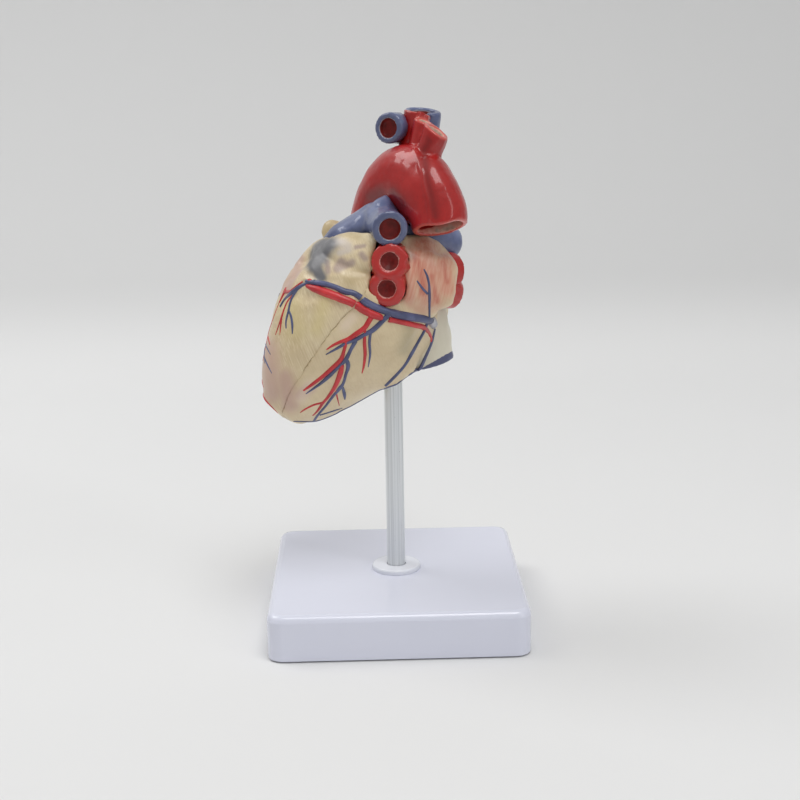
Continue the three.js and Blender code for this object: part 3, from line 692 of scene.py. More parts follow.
class Nodes:
    """A node tree that is built up from wires."""

    def __init__(self, tree):
        self.tree = tree

    def feed(self, socket, value):
        """Links a wire to a socket, or sets its value."""
        if isinstance(value, Wire):
            self.tree.links.new(value.socket, socket)
        else:
            socket.default_value = value

    def node(self, kind, output, settings, inputs):
        """The output of a new node, with its settings and then its inputs set."""
        made = self.tree.nodes.new(kind)
        for key, value in settings.items():
            setattr(made, key, value)
        for key, value in inputs.items():
            self.feed(made.inputs[key], value)
        return Wire(self, made.outputs[output])

    def blend(self, first, second, share):
        """A mix of two colours, each a wire or the red, green and blue of a screen."""
        first, second = (c if isinstance(c, Wire) else shade(*c) for c in (first, second))
        return self.node(
            "ShaderNodeMix", 2, {"data_type": "RGBA", "clamp_factor": True}, {0: share, 6: first, 7: second}
        )


class Paint(Nodes):
    """A material of one principled shader."""

    def __init__(self, name, **constants):
        self.material = bpy.data.materials.new(name)
        self.material.use_nodes = True
        super().__init__(self.material.node_tree)
        self.shader = self.tree.nodes["Principled BSDF"]
        for socket, value in constants.items():
            self.feed(self.shader.inputs[socket.replace("_", " ")], value)
        self.place = self.node("ShaderNodeTexCoord", "Object", {}, {})

    def mask(self, name):
        """A number kept at the points of the mesh."""
        return self.node("ShaderNodeAttribute", "Fac", {"attribute_name": name}, {})

    def along(self, direction):
        """How far a point lies along a direction."""
        return self.node(
            "ShaderNodeVectorMath", "Value", {"operation": "DOT_PRODUCT"}, {0: self.place, 1: direction}
        )

    def noise(self, size, detail=3.0, roughness=0.5, where=None):
        """Clouds with lumps of about the given size in metres."""
        return self.node(
            "ShaderNodeTexNoise", "Fac", {},
            {"Vector": where or self.place, "Scale": 1 / size, "Detail": detail, "Roughness": roughness},
        )

    def strokes(self, along, across, length, width):
        """Brush strokes that run in one direction: noise drawn out along it."""
        third = Vector(along).cross(Vector(across))
        where = self.node("ShaderNodeCombineXYZ", 0, {}, {
            0: self.along(along) * (1 / length),
            1: self.along(across) * (1 / width),
            2: self.along(tuple(third)) * (0.4 / width),
        })
        return self.noise(1.0, 2.0, 0.55, where)

    def coats(self, ground, *layers):
        """Lays colours over a ground, each with its share, and paints the piece with them."""
        for colour, share in layers:
            ground = self.blend(ground, colour, share)
        self.feed(self.shader.inputs["Base Color"], ground)

    def rough(self, value):
        """How matt the surface is."""
        self.feed(self.shader.inputs["Roughness"], value)

    def bump(self, height, depth):
        """Fine relief: height from 0 to 1 stands for depth in metres."""
        normal = self.node("ShaderNodeBump", 0, {}, {"Strength": 1.0, "Distance": depth, "Height": height})
        self.feed(self.shader.inputs["Normal"], normal)


MUSCLE_MASKS = (
    "yellow", "mauve", "shadow", "pale", "grey", "glaze", "purple", "salmon", "ochre", "inside",
    "wash", "streak", "dusk", "cava", "cava_rim",
)


def muscle_paint(name, streaked):
    """Cream lacquer over the heart's walls. Its zones come from the masks that the castings carry."""
    paint = Paint(name, Coat_Weight=0.3, Coat_Roughness=0.2, Specular_IOR_Level=0.4)
    mask = paint.mask
    clouds = paint.noise(0.022, 4.0, 0.6)
    fine = paint.noise(0.0045, 4.0, 0.6)
    ragged_edges = paint.noise(0.006, 3.0, 0.5) - 0.5
    strokes = paint.strokes((0.36, 0.1, -0.93), (0.93, 0.0, 0.36), 0.024, 0.0006)
    washed = paint.strokes((-0.22, 0.1, -0.97), (0.97, 0.1, -0.22), 0.018, 0.0014)
    wash = (mask("wash") * (0.8 + 0.4 * washed)).between(0.05, 1.0)
    paint.coats(
        paint.blend(chosen("muscle_deep"), chosen("muscle_light"), clouds.between(0.3, 0.7)),
        ((188, 166, 130), fine.between(0.55, 0.85) * 0.3),
        ((236, 222, 190), strokes.between(0.5, 0.72) * (0.5 if streaked else 0.16)),
        ((178, 152, 118), (1 - strokes.between(0.28, 0.48)) * (0.3 if streaked else 0.12)),
        ((216, 198, 134), mask("yellow") * 0.45),
        ((192, 156, 144), (mask("mauve") * (0.6 + 0.6 * strokes)).between(0.1, 1.0) * 0.8),
        ((160, 148, 116), mask("shadow") * 0.6),
        ((228, 208, 188), mask("pale") * 0.6),
        # painted highlights: the whitish sheen of the lacquer on the crescent's top and on the left auricle
        ((198, 188, 182), (mask("glaze") + ragged_edges * 0.7).between(0.1, 1.0) * 0.7),
        ((156, 134, 134), (mask("purple") + ragged_edges * 0.7).between(0.2, 1.0) * 0.7),
        # the dark grey crescent by the left auricle: partly grey paint, partly painted shade in the groove there
        ((100, 101, 106), (mask("grey") + ragged_edges * 0.25).between(0.05, 0.85) * 0.97),
        ((208, 158, 134), mask("salmon") * 0.7),
        ((188, 168, 128), mask("ochre") * 0.75),
        # the lower great vein's panel, and the watercolour over the atria
        (paint.blend((214, 208, 188), (226, 220, 202), paint.noise(0.012, 4.0, 0.6)), mask("cava")),
        (paint.blend(chosen("atrium_thin"), chosen("atrium_thick"), washed.between(0.35, 0.7)), wash * 0.9),
        ((188, 88, 68), (mask("streak") * (0.3 + washed)).between(0.15, 1.1) * 0.75),
        ((226, 192, 168), washed.between(0.6, 0.8) * wash * 0.45),
        # painted shade on the atrium beside the lung veins' ring
        ((128, 106, 90), mask("dusk") * 0.6),
        ((80, 84, 118), (mask("cava_rim") + (fine - 0.5) * 0.3).between(0.35, 0.65)),
        ((186, 96, 88), mask("inside") * 0.85),
    )
    paint.rough(0.34 + 0.2 * fine)
    paint.bump(strokes * 0.6 + fine * 0.6, 0.0001 if streaked else 0.00006)
    return paint.material


def tissue(name):
    """Pink lacquer of the valves."""
    paint = Paint(name, Coat_Weight=0.3, Coat_Roughness=0.2, Specular_IOR_Level=0.45)
    clouds = paint.noise(0.008, 4.0, 0.6)
    paint.coats((222, 186, 160), ((208, 148, 126), clouds.between(0.3, 0.7)))
    paint.rough(0.33 + 0.18 * clouds)
    paint.bump(clouds, 0.00012)
    return paint.material


def enamel_paint(name, deep, light, lumen, rim, edge):
    """Glossy enamel of one colour, with its rims, a fine edge round each bore, and a painted inside."""
    paint = Paint(name, Coat_Roughness=0.07, Specular_IOR_Level=0.3)
    clouds = paint.noise(0.016, 3.0, 0.55)
    fine = paint.noise(0.0022, 3.0, 0.6)
    bore = paint.mask("inside")
    inside = (bore + (fine - 0.5) * 0.15).between(0.4, 0.6)
    paint.coats(
        paint.blend(deep, light, clouds.between(0.25, 0.75)),
        (scaled(deep, 0.6), (1 - fine.between(0.2, 0.42)) * 0.25),
        # a darker strip, and painted shade where a vessel lies beside or under another
        (scaled(deep, 0.82), paint.mask("band") * 0.9),
        (rim, paint.mask("rim") * (0.6 + 0.5 * fine)),
        (paint.blend(lumen, scaled(lumen, 0.74), paint.noise(0.004, 4.0, 0.65).between(0.3, 0.7)), inside),
        (edge, (bore * (1 - bore) * 4).between(0.2, 0.9) * 0.75),
    )
    paint.feed(paint.shader.inputs["Coat Weight"], 0.6 * (1 - inside * 0.85))
    paint.rough(0.26 + 0.16 * fine + 0.35 * inside)
    paint.bump(clouds * 0.7 + fine * 0.5, 0.00016)
    return paint.material


def vessel_paint(name, deep, light):
    """Brushed-on paint of the coronary vessels."""
    paint = Paint(name, Coat_Weight=0.35, Coat_Roughness=0.25)
    fine = paint.noise(0.0016, 3.0, 0.6)
    brighter = tuple(min(255, 1.3 * c + 30) for c in light)
    paint.coats(
        deep, (light, paint.noise(0.008, 2.0).between(0.3, 0.7)), (brighter, fine.between(0.6, 0.85) * 0.4)
    )
    paint.rough(0.3 + 0.25 * fine)
    paint.bump(fine, 0.00008)
    return paint.material


def plastic(name, light, dark, roughness):
    """Moulded plastic with a faint waviness and a little dust."""
    paint = Paint(name, Coat_Weight=0.2, Coat_Roughness=0.06, Specular_IOR_Level=0.5)
    clouds = paint.noise(0.05, 2.0)
    dust = paint.noise(0.0006, 2.0, 0.7)
    paint.coats(light, (dark, clouds * 0.5), ((150, 150, 152), dust.between(0.74, 0.8) * 0.25))
    paint.rough(roughness + 0.08 * clouds + 0.2 * dust.between(0.7, 0.8))
    paint.bump(paint.noise(0.018, 2.0), 0.00008)
    return paint.material


def drawn_metal(name, light, dark, roughness, metallic):
    """Drawn or rolled metal with lines along Z and small specks."""
    paint = Paint(name, Metallic=metallic)
    drawn = paint.node("ShaderNodeVectorMath", 0, {"operation": "MULTIPLY"}, {0: paint.place, 1: (900, 900, 6)})
    lines = paint.noise(1.0, 2.0, 0.5, drawn)
    specks = paint.noise(0.0011, 2.0, 0.6)
    paint.coats(dark, (light, lines.between(0.3, 0.7)), ((96, 98, 100), (1 - specks.between(0.2, 0.3)) * 0.7))
    paint.rough(roughness + 0.12 * lines)
    paint.bump(lines, 0.00003)
    return paint.material


def rubber(name):
    """Dark rubber of the feet."""
    paint = Paint(name)
    grain = paint.noise(0.0007, 3.0, 0.6)
    paint.coats((34, 34, 36), ((52, 52, 54), grain))
    paint.rough(0.6 + 0.25 * grain)
    paint.bump(grain, 0.00005)
    return paint.material


def matte(name, colour, other):
    """The paper of the floor and the backdrop, with painted shade: darker as it rises from the floor, because the
    backdrop gets less light.
    """
    paint = Paint(name, Specular_IOR_Level=0.2)
    height = paint.along((0.0, 0.0, 1.0))
    # painted shade: over the first 7 cm above the floor the paper turns darker, to 0.915 of its colour, and stays
    # so above
    paint.coats(colour, (other, paint.noise(0.3, 2.0)), (scaled(colour, 0.915), height.between(0.0, 0.07)))
    paint.rough(0.75 + 0.1 * paint.noise(0.002, 2.0))
    return paint.material


def material(name, make, *values):
    """A material by name, made once. A text among its values names a colour of the paint settings."""
    known = bpy.data.materials.get(name)
    return known or make(name, *(chosen(v) if isinstance(v, str) else v for v in values))


# ---------------------------------------------------------------- routes, traced in the picture

# Each point is u, v and the width in pixels. Two pixels are about a millimetre.
BLUE_ROUTES = {
    "sinus": [
        (305.7, 281.2, 3), (314.7, 283.1, 5), (324.7, 283.7, 5), (334.6, 286.8, 5), (344.6, 291.2, 6),
        (353.3, 293.1, 6), (360.7, 297.4, 6), (363.2, 300.5, 7), (373.2, 306.1, 7), (385.6, 311.1, 7),
        (398, 314.6, 8), (410.5, 317, 8), (422.9, 319, 8), (431, 321, 8),
    ],
    "rear vein": [
        (389.3, 314.2, 5), (383.1, 320.4, 5), (373.2, 329.8, 5), (364.5, 334.7, 4), (355.7, 339.7, 4),
        (347, 342.8, 3), (337.1, 348.4, 2.5), (325.9, 354.6, 0.8),
    ],
    "rear vein low": [
        (355.7, 340.9, 4), (350.8, 349.7, 3.5), (345.8, 359.6, 4), (338.3, 367.1, 3), (329.6, 375.8, 4),
        (320.9, 383.2, 3), (312.2, 389.5, 2), (306, 393.8, 0.8),
    ],
    "rear vein down": [
        (345.8, 358.4, 3.5), (348.3, 365.8, 4), (345.8, 374.5, 3), (343.3, 383.2, 3), (339.6, 388.2, 4.5),
        (333.4, 395.7, 3), (325.9, 405.6, 2.5), (318.4, 414.3, 2.5), (314.1, 420.5, 2.5),
    ],
    "rear vein spur": [(342.7, 387, 2), (344.5, 394.4, 3), (344.9, 399.4, 1)],
    "lower edge": [
        (293.6, 421.2, 1.2), (313.5, 421.2, 2), (329.6, 416.8, 2), (342.1, 410, 2), (360.7, 401.3, 2),
        (380.6, 390.1, 2), (400.5, 382.6, 2.5), (410.5, 377, 2.5), (419.2, 369.6, 3), (425.4, 357.1, 3),
        (431.6, 342.2, 3), (434.7, 328.5, 3),
    ],
    "lower edge inner": [(319.7, 415, 2), (332.1, 411.2, 2), (342.1, 408.1, 1)],
    "middle thin": [(370.7, 332.2, 2.5), (369.4, 342.2, 2.5), (370.1, 354.6, 2), (368.2, 367.1, 0.6)],
    "right vein": [
        (427.3, 322.5, 4), (423.5, 332.2, 3.5), (417.9, 342.2, 3.5), (411.7, 353.4, 4), (404.3, 365.8, 3.5),
        (394.3, 377, 3.5), (385.6, 385.7, 3),
    ],
    "atrial vein": [
        (423.9, 269.1, 1), (427.3, 276.4, 2), (429.1, 285, 2), (429.5, 295.4, 2.5), (429.5, 306.5, 2),
        (429.5, 319, 2),
    ],
    "atrial vein spur": [(417, 280.7, 1), (422.6, 288.5, 2), (427.8, 294, 2)],
    "front vein": [
        (314.6, 281.5, 4), (304.1, 284.3, 3), (297.1, 288.5, 4), (290.1, 294.1, 4), (284.5, 299.7, 3),
        (280.3, 306.7, 2.5),
    ],
    "front vein fork": [
        (297.1, 289.2, 3), (292.9, 296.2, 2.5), (290.1, 303.2, 2.5), (288.7, 310.3, 2.5), (286.1, 321, 2),
        (286.1, 328.5, 1),
    ],
    "front vein spur": [(289, 311, 2), (291.1, 316.1, 2.5), (292.3, 324.8, 2.5), (292.3, 334.1, 0.8)],
    "stroke 1": [(265, 344, 2), (270.5, 354.6, 0.6)],
    "stroke 2": [(264.3, 357.1, 2), (267.4, 364.6, 1.5), (271.8, 373.3, 0.6)],
}
RED_ROUTES = {
    "circumflex": [
        (306.6, 285.6, 3), (313.5, 288.1, 6), (324.7, 291.8, 7.5), (337.1, 296.8, 7.5), (349.5, 301.8, 7),
        (355.7, 304.9, 7), (362, 309.2, 7), (371.9, 314.2, 7), (380.6, 317.3, 6), (381.9, 319.2, 4),
    ],
    "circumflex end": [
        (388.7, 319.6, 5), (401.8, 322.1, 5), (415.4, 325.2, 5), (422.9, 327, 5), (427.9, 331, 4),
        (431, 337.2, 3), (431.4, 342.2, 2),
    ],
    "rear artery": [
        (371.3, 317.3, 5), (367.6, 323.5, 5), (364.5, 327.9, 5), (357, 333.5, 5), (348.3, 339.1, 4),
        (339.6, 342.2, 3), (332.1, 345.9, 2), (326.5, 349.7, 0.8),
    ],
    "rear artery low": [
        (346.4, 340.9, 3), (343.9, 350.9, 3), (340.8, 359.6, 4), (332.1, 368.3, 4), (322.2, 377, 3.5),
        (312.2, 384.5, 3), (303.5, 390.7, 1.5),
    ],
    "rear artery down": [
        (342.1, 364.6, 3.5), (340.8, 372, 5), (337.7, 380.7, 4.5), (333.4, 389.5, 3.5), (327.1, 398.2, 3),
        (322.8, 403.1, 3), (317.8, 410.6, 2), (312.8, 415.6, 1),
    ],
    "rear artery spur": [(322.8, 402.5, 2.5), (313.5, 405, 2), (304.8, 409.4, 1.5), (300.4, 412.5, 0.8)],
    "rear artery twig": [(335.8, 390.7, 1.5), (337.7, 399.4, 1), (339.3, 405.6, 0.5)],
    "middle branch": [
        (365.1, 329.8, 2), (364.5, 342.2, 3), (365.1, 354.6, 3), (363.8, 365.8, 2), (362, 373.3, 0.8),
    ],
    "front artery": [
        (302.7, 281.5, 1.5), (297.1, 285.7, 2), (290.1, 291.3, 2.5), (285.2, 292, 3), (283.1, 295.5, 3),
        (279.6, 302.5, 2),
    ],
    "front artery stub": [(285.2, 292.5, 2), (285.9, 287.8, 2)],
    "front artery low": [
        (292.2, 295.5, 1.5), (287.3, 301.8, 2), (283.8, 310.3, 2), (281.7, 317.3, 2.5), (278.6, 326, 1.5),
        (275.5, 334.7, 0.8),
    ],
    "front artery twig": [(281.7, 318.6, 2), (280.5, 327.3, 1.5), (279.9, 334.7, 0.6)],
    "left edge": [
        (284.9, 288.7, 0.8), (279.3, 302.4, 0.9), (272.4, 321, 0.9), (267.4, 336, 0.9), (264.3, 348.4, 0.9),
        (262.5, 360.8, 0.6),
    ],
    "left edge twig": [(268.1, 337.2, 2), (269.9, 344.7, 0.8)],
    "apex": [(262.5, 393.2, 1), (266.2, 400.6, 2.5), (278, 413, 0.6)],
    "speck": [(307.5, 280, 1.5), (309.5, 280, 3), (311.5, 280.5, 1.5)],
}
# pale paint over the sinus' swollen end: partly its own pale colour, partly a painted highlight on the swelling
PALE_ROUTES = {"pale sinus end and highlight": [(430.5, 320.5, 9), (433, 322.5, 10), (434, 325, 9)]}
# The side that the picture doesn't show, in mm of the heart's right, front and up, with the width in mm.
FAR_RED_ROUTES = {
    "front descending": [
        (-34, 42, 45, 3), (-36, 48, 32, 2.6), (-40, 50, 18, 2.4), (-44, 50, 5, 2), (-46, 46, -4, 1.6),
        (-48, 40, -9, 0.8),
    ],
    "front descending spur": [(-36, 48, 34, 1.8), (-28, 48, 24, 1.6), (-22, 46, 12, 0.8)],
    "front descending twig": [(-41, 50, 16, 1.6), (-50, 44, 10, 1.4), (-54, 36, 4, 0.6)],
    "right coronary": [
        (12, 40, 60, 2.4), (18, 40, 54, 3), (22, 36, 46, 3), (24, 30, 38, 2.8), (22, 22, 30, 2.2),
        (16, 12, 24, 1.4),
    ],
    "marginal": [(22, 34, 42, 2.2), (14, 40, 30, 2), (4, 44, 20, 1.8), (-10, 46, 10, 1.6), (-24, 46, 2, 0.8)],
}
FAR_BLUE_ROUTES = {
    "great vein": [
        (-42, 36, 50, 1.2), (-41, 40, 44, 2.2), (-42, 43, 34, 2.4), (-45, 46, 20, 2.2), (-48, 46, 8, 1.8),
        (-50, 40, -2, 0.8),
    ],
    "great vein spur": [(-43, 44, 30, 1.6), (-50, 40, 24, 1.4), (-55, 32, 16, 0.6)],
    "small vein": [(14, 36, 40, 1.8), (6, 40, 30, 1.6), (-2, 42, 20, 1.4), (-12, 42, 12, 0.6)],
}

REAR_NODES = ("rear_heart_wall", "left_atrium", "right_atrium", "inferior_vena_cava")
# Pulls on the walls: a pixel, the mm to the right and up, and the width in mm.
WALL_PULLS = (
    ((447, 268), (4.6, 0.0), 8), ((446, 282), (2.0, 0.0), 6), ((440, 294), (5.0, 0.0), 7),
    ((433, 304), (7.5, 0.0), 8), ((428, 311), (2.5, 0.0), 5), ((420, 240), (0.0, -3.0), 7),
    ((438, 246), (-0.5, -2.8), 6), ((296, 262), (6.4, 0.0), 9), ((283, 292), (1.6, 0.0), 7),
    ((374, 240), (1.6, 1.6), 5), ((448, 333), (1.8, 0.0), 6), ((399, 371), (0.0, -4.4), 9),
    ((411, 362), (0.0, -4.2), 6), ((386, 381), (0.0, -1.6), 7),
)
# Zones of paint: the width of each in pixels, and its path in the picture.
WALL_SPOTS = {
    "yellow": [(13, (288, 305), (297, 330)), (8, (325, 300), (316, 330))],
    "mauve": [(16, (266, 350), (272, 392)), (12, (284, 378), (290, 404)), (9, (297, 272), (286, 288)),
              (7, (298, 396), (310, 388)), (6, (300, 258), (296, 270))],
    "shadow": [(8, (410, 330), (405, 350))],
    "pale": [(6, (352, 318), (345, 326)), (6, (310, 385), (302, 398))],
    # the dark grey crescent by the left auricle: partly grey paint, partly painted shade in the groove there
    "grey": [(12, (327, 244), (321, 250)), (13, (319, 254), (318, 256)), (10, (314, 264), (315, 266)),
             (7, (317, 270), (320.5, 277))],
    # painted highlights: the lacquer's whitish sheen on the crescent's top and on the left auricle
    "glaze": [(7, (336, 240), (347, 246)), (4, (340, 253), (348, 250)), (3, (326, 236), (334, 235))],
    "purple": [(4.5, (362, 254), (365, 258)), (6, (342, 262), (337, 269)), (3.5, (329, 247), (325, 256)),
               (3, (356, 247), (364, 246)), (5, (352, 263), (341, 267)), (4, (327, 262), (328, 272))],
    "salmon": [(5, (404, 299), (412, 306)), (5, (416, 309), (424, 312))],
    "ochre": [(5, (325, 234), (345, 232), (362, 238)), (4, (372, 248), (370, 285)), (7, (350, 280), (366, 272))],
}
ATRIUM_SPOTS = {
    "wash": [(19, (424, 250), (430, 275), (430, 294)), (13, (444, 262), (446, 288)), (9, (410, 252), (411, 296))],
    "streak": [(6, (415, 256), (420, 275), (424, 292)), (3.5, (432, 276), (437, 302)), (3, (443, 262), (447, 282))],
    # painted shade on the atrium beside the lung veins' ring
    "dusk": [(5, (409, 247), (411, 256))],
}
# The line in the picture above the lower great vein's blue rim: u, v and the rise per pixel.
CAVA_RIM = (417, 371, 0.57)
# Bores, for their masks: the axis, as mm of the heart's right, front and up that end in the mouth, and the radius.
AORTIC_BORES = [
    ([(3, 14, 57), (4, 15, 78), (5, 10, 92), (4.5, 0, 102), (3, -13, 104.5), (0.5, -25.5, 99.5), (-1, -32.5, 92.5),
      (-2.5, -35.6, 84.7)], 10.5),
    ([(9, -4, 108), (16.5, -4.5, 139)], 4.0),
    ([(4, -13, 110), (10.5, -15, 136)], 2.6),
    ([(2, -20, 106), (6.5, -26, 131)], 3.7),
]
UPPER_VEIN_BORES = [([(26, 3, 108), (26, 2, 138)], 5.8), ([(13, 3, 130), (-1, -0.5, 131)], 4.8)]
LEFT_VEIN_BORES = [([(-16, -16, 68.5), (-28, -26, 70.6)], 4.4), ([(-16, -15, 57.8), (-29, -25, 57.4)], 4.4)]
RIGHT_VEIN_BORES = [([(9, -20, 61), (22.5, -22.5, 60)], 4.4), ([(9, -19.5, 52), (22.5, -21, 49)], 4.4)]

# Materials: the name, the maker and its values, where a text names a colour of the paint settings. An enamel has
# its deep and light colour, then the colours of the inside, the rim and the edge of its bores.
FRONT_MUSCLE = ("muscle_front", muscle_paint, True)
REAR_MUSCLE = ("muscle_rear", muscle_paint, False)
AORTA_RED = (
    "aorta_red", enamel_paint, "aorta_deep", "aorta_light", (226, 190, 170), (206, 92, 82), (222, 150, 134)
)
ARTERY_BLUE = (
    "artery_blue", enamel_paint, "blue_deep", "blue_light", (124, 26, 22), (84, 90, 120), (150, 150, 160)
)
LUNG_VEIN_RED = (
    "lung_vein_red", enamel_paint, "lung_vein_deep", "lung_vein_light",
    (124, 22, 18), (178, 48, 44), (214, 150, 140),
)
STEEL = ("steel", drawn_metal, (190, 192, 196), (150, 152, 156), 0.28, 1.0)
ALUMINIUM = ("aluminium", drawn_metal, (232, 235, 237), (206, 209, 211), 0.36, 0.6)
STAND_PAINTS = {
    "base_shell": ("base_plastic", plastic, "base_light", "base_deep", 0.12),
    "rod_collar": ("collar_plastic", plastic, (234, 236, 244), (226, 229, 240), 0.14),
    "support_rod": ALUMINIUM, "rod_screw": STEEL, "rod_washer": STEEL,
    **{f"base_foot_{i}": ("foot_rubber", rubber) for i in range(1, 5)},
}


def spots(obj, skin, name, places):
    """A mask that is 1 at paths given in pixels and fades over each one's width in pixels."""
    points = coordinates(obj.data)
    seen = project(points)
    values = np.zeros(len(points))
    for width, *path in places:
        found = [skin.under_pixel(u, v)[0] for u, v in path]
        near = distance_to_path(points, found) / (width * pixel_size(found[0]))
        same_side = np.clip((3.2 - near) / 1.2, 0, 1)  # not what lies behind the path
        values = np.maximum(values, falloff(seen, path, width) * same_side)
    put_mask(obj, name, values)


def blank_masks(obj):
    """Gives a muscle casting the masks that it has nothing in."""
    for name in MUSCLE_MASKS:
        if name not in obj.data.attributes:
            put_mask(obj, name, np.zeros(len(obj.data.vertices)))


def nearest_nodes(points, nodes):
    """The name of the nearest one of some CAD nodes for each point."""
    trees = {node: search_tree(merged_copy(node)) for node in nodes}
    return np.array([min(nodes, key=lambda node: trees[node].find_nearest(point)[3]) for point in points])


def region_share(obj, inside):
    """1 at the points inside a region and 0 outside, with a soft edge."""
    mean = averager(obj.data)
    share = inside.astype(float)[:, None]
    for _ in range(4):
        share = mean(share)
    return share[:, 0]


def bore_masks(obj, bores):
    """Masks the inside of bores and the faces round their mouths."""
    soft, sill, lip, wall = 0.4, 0.15, 0.55, 3.6  # mm: soft edges, inside ends, depth of the rim, its width
    points = coordinates(obj.data)
    inside = np.zeros(len(points))
    rim = np.zeros(len(points))
    for axis, radius in bores:
        path = heart_path(axis)
        distance = distance_to_path(points, path) / MM
        out = np.array((path[-1] - path[-2]).normalized())
        past = (points - np.array(path[-1])) @ out / MM
        inside = np.maximum(inside, np.clip((radius - distance) / soft + 1.0, 0, 1) * (past < -sill))
        rim = np.maximum(rim, np.exp(-((past / lip) ** 2)) * np.clip((radius + wall - distance) / soft, 0, 1))
    put_mask(obj, "inside", inside)
    put_mask(obj, "rim", rim * (1 - inside))


# ---------------------------------------------------------------- pieces


def find(name):
    """A piece that an earlier step made."""
    if name not in bpy.data.objects:
        raise RuntimeError(f"{name} is not there yet: run the steps from the top")
    return bpy.data.objects[name]


def make_walls():
    """The front wall, and the rear half with its atria and the lower great vein."""
    front = soft_casting("front_heart_wall")
    rear = soft_casting(*REAR_NODES)
    fillet(rear, ((normals(rear.data) * outwards(coordinates(rear.data))).sum(1) > 0).astype(float))
    draw_out([front, rear], Skin([front, rear]), *WALL_PULLS)
    close_seam(front, rear)
    skin = Skin([front, rear])
    for wall in (front, rear):
        for name, places in WALL_SPOTS.items():
            spots(wall, skin, name, places)
        inner_mask(wall, skin)
    for name, places in ATRIUM_SPOTS.items():
        spots(rear, skin, name, places)
    regions = nearest_nodes(coordinates(rear.data), REAR_NODES)
    atria = region_share(rear, np.isin(regions, ("left_atrium", "right_atrium")))
    put_mask(rear, "wash", atria * mask_values(rear, "wash"))
    lower_vein = regions == "inferior_vena_cava"
    put_mask(rear, "cava", region_share(rear, lower_vein))
    u, v = project(coordinates(rear.data)).T
    across, down, rise = CAVA_RIM
    below = np.clip((v - down + (u - across) * rise) / 1.2 + 0.5, 0, 1)
    put_mask(rear, "cava_rim", below * lower_vein)
    for wall in (front, rear):
        blank_masks(wall)
    dress(front, material(*FRONT_MUSCLE), "front_heart_wall")
    dress(rear, material(*REAR_MUSCLE), *REAR_NODES)


def inner_mask(wall, skin):
    """Masks what faces the chambers: points well under the outermost surface that the picture doesn't show."""
    clear, hidden = 0.0008, 0.001  # m: how far off the surface a ray starts, and how far under what is seen
    points = coordinates(wall.data)
    eye = Vector(bpy.context.scene.heart_stage.place)
    ways = outwards(points)
    turned_in = (normals(wall.data) * ways).sum(1) < 0
    tree = search_tree(wall.data)
    values = np.zeros(len(points))
    for i in np.nonzero(turned_in)[0]:
        way = Vector(ways[i]).normalized()
        point = Vector(points[i])
        covered = tree.ray_cast(point + way * clear, way)[0] is not None
        values[i] = covered and (skin.cast(eye, (point - eye).normalized())[0] - point).length > hidden
    put_mask(wall, "inside", values)


def lay_routes(skin, near, far):
    """The runs of points and radii on each body, from routes in the picture and on the side it doesn't show."""
    runs = {}
    for route in near:
        found = []
        for u, v, width in curved_route(route, ROUTE_STEP):
            place, normal, obj = skin.under_pixel(u, v)
            # A round tube looks narrower than it is, so it gets a little more than the traced width.
            found.append((place, normal, obj, (1.12 * width + 0.4) * pixel_size(place) / 2))
        add_runs(runs, [
            f for i, f in enumerate(found)
            if not 0 < i < len(found) - 1
            or min((f[0] - found[i - 1][0]).length, (f[0] - found[i + 1][0]).length) < JUMP
        ])
    for route in far:
        add_runs(runs, [
            (*skin.outside(heart_point(*place)), max(width, 0.3) * MM / 2)
            for *place, width in curved_route(route, FAR_ROUTE_STEP)
        ])
    return runs


def add_runs(runs, found):
    """Adds a route's runs, one for each stretch on one body, to those of that body."""
    sunk = bpy.context.scene.heart_forms.vessel_sunk
    points = [place - normal * radius * sunk for place, normal, _, radius in found]
    points = [
        points[i] if i in (0, len(points) - 1) else (points[i - 1] + 2 * points[i] + points[i + 1]) / 4
        for i in range(len(points))
    ]
    bodies = [frame["nodes"][f[2].name.removesuffix("_cast")]["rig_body"] for f in found]
    for body, stretch in itertools.groupby(range(len(found)), key=lambda i: bodies[i]):
        members = list(stretch)
        if len(members) > 2:
            runs.setdefault(body, []).append(([points[i] for i in members], [found[i][3] for i in members]))


def make_coronaries():
    """The coronary vessels, each kind as one piece on each body that it lies on."""
    skin = Skin([find("front_heart_wall_cast"), find("rear_heart_wall_cast")])
    for name, near, far, slot, deep, light in (
        ("arteries", RED_ROUTES, FAR_RED_ROUTES, "vessel_red", "artery_deep", "artery_light"),
        ("veins", BLUE_ROUTES, FAR_BLUE_ROUTES, "vessel_blue", "vein_deep", "vein_light"),
        # the pale tube over the sinus' swollen end: partly its pale colour, partly a painted highlight
        ("sleeve", PALE_ROUTES, {}, "vessel_blue", (150, 150, 164), (178, 178, 188)),
    ):
        for body, lines in lay_routes(skin, near.values(), far.values()).items():
            made = tubes(f"coronary_{name}_{body}", lines)
            made.data.materials.append(material("coronary_" + name, vessel_paint, deep, light))
            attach(made, body)


def make_auricle():
    """The right auricle."""
    auricle = soft_casting("right_auricle", unevenness=0.0007)
    pulls = ((331, 230), (-2.0, 3.0), 7), ((336, 229), (0.0, 1.8), 7), ((329, 238), (-2.4, 0.4), 7)
    draw_out([auricle], Skin([auricle]), *pulls)
    put_mask(auricle, "ochre", np.ones(len(auricle.data.vertices)))
    blank_masks(auricle)
    dress(auricle, material(*REAR_MUSCLE), "right_auricle")


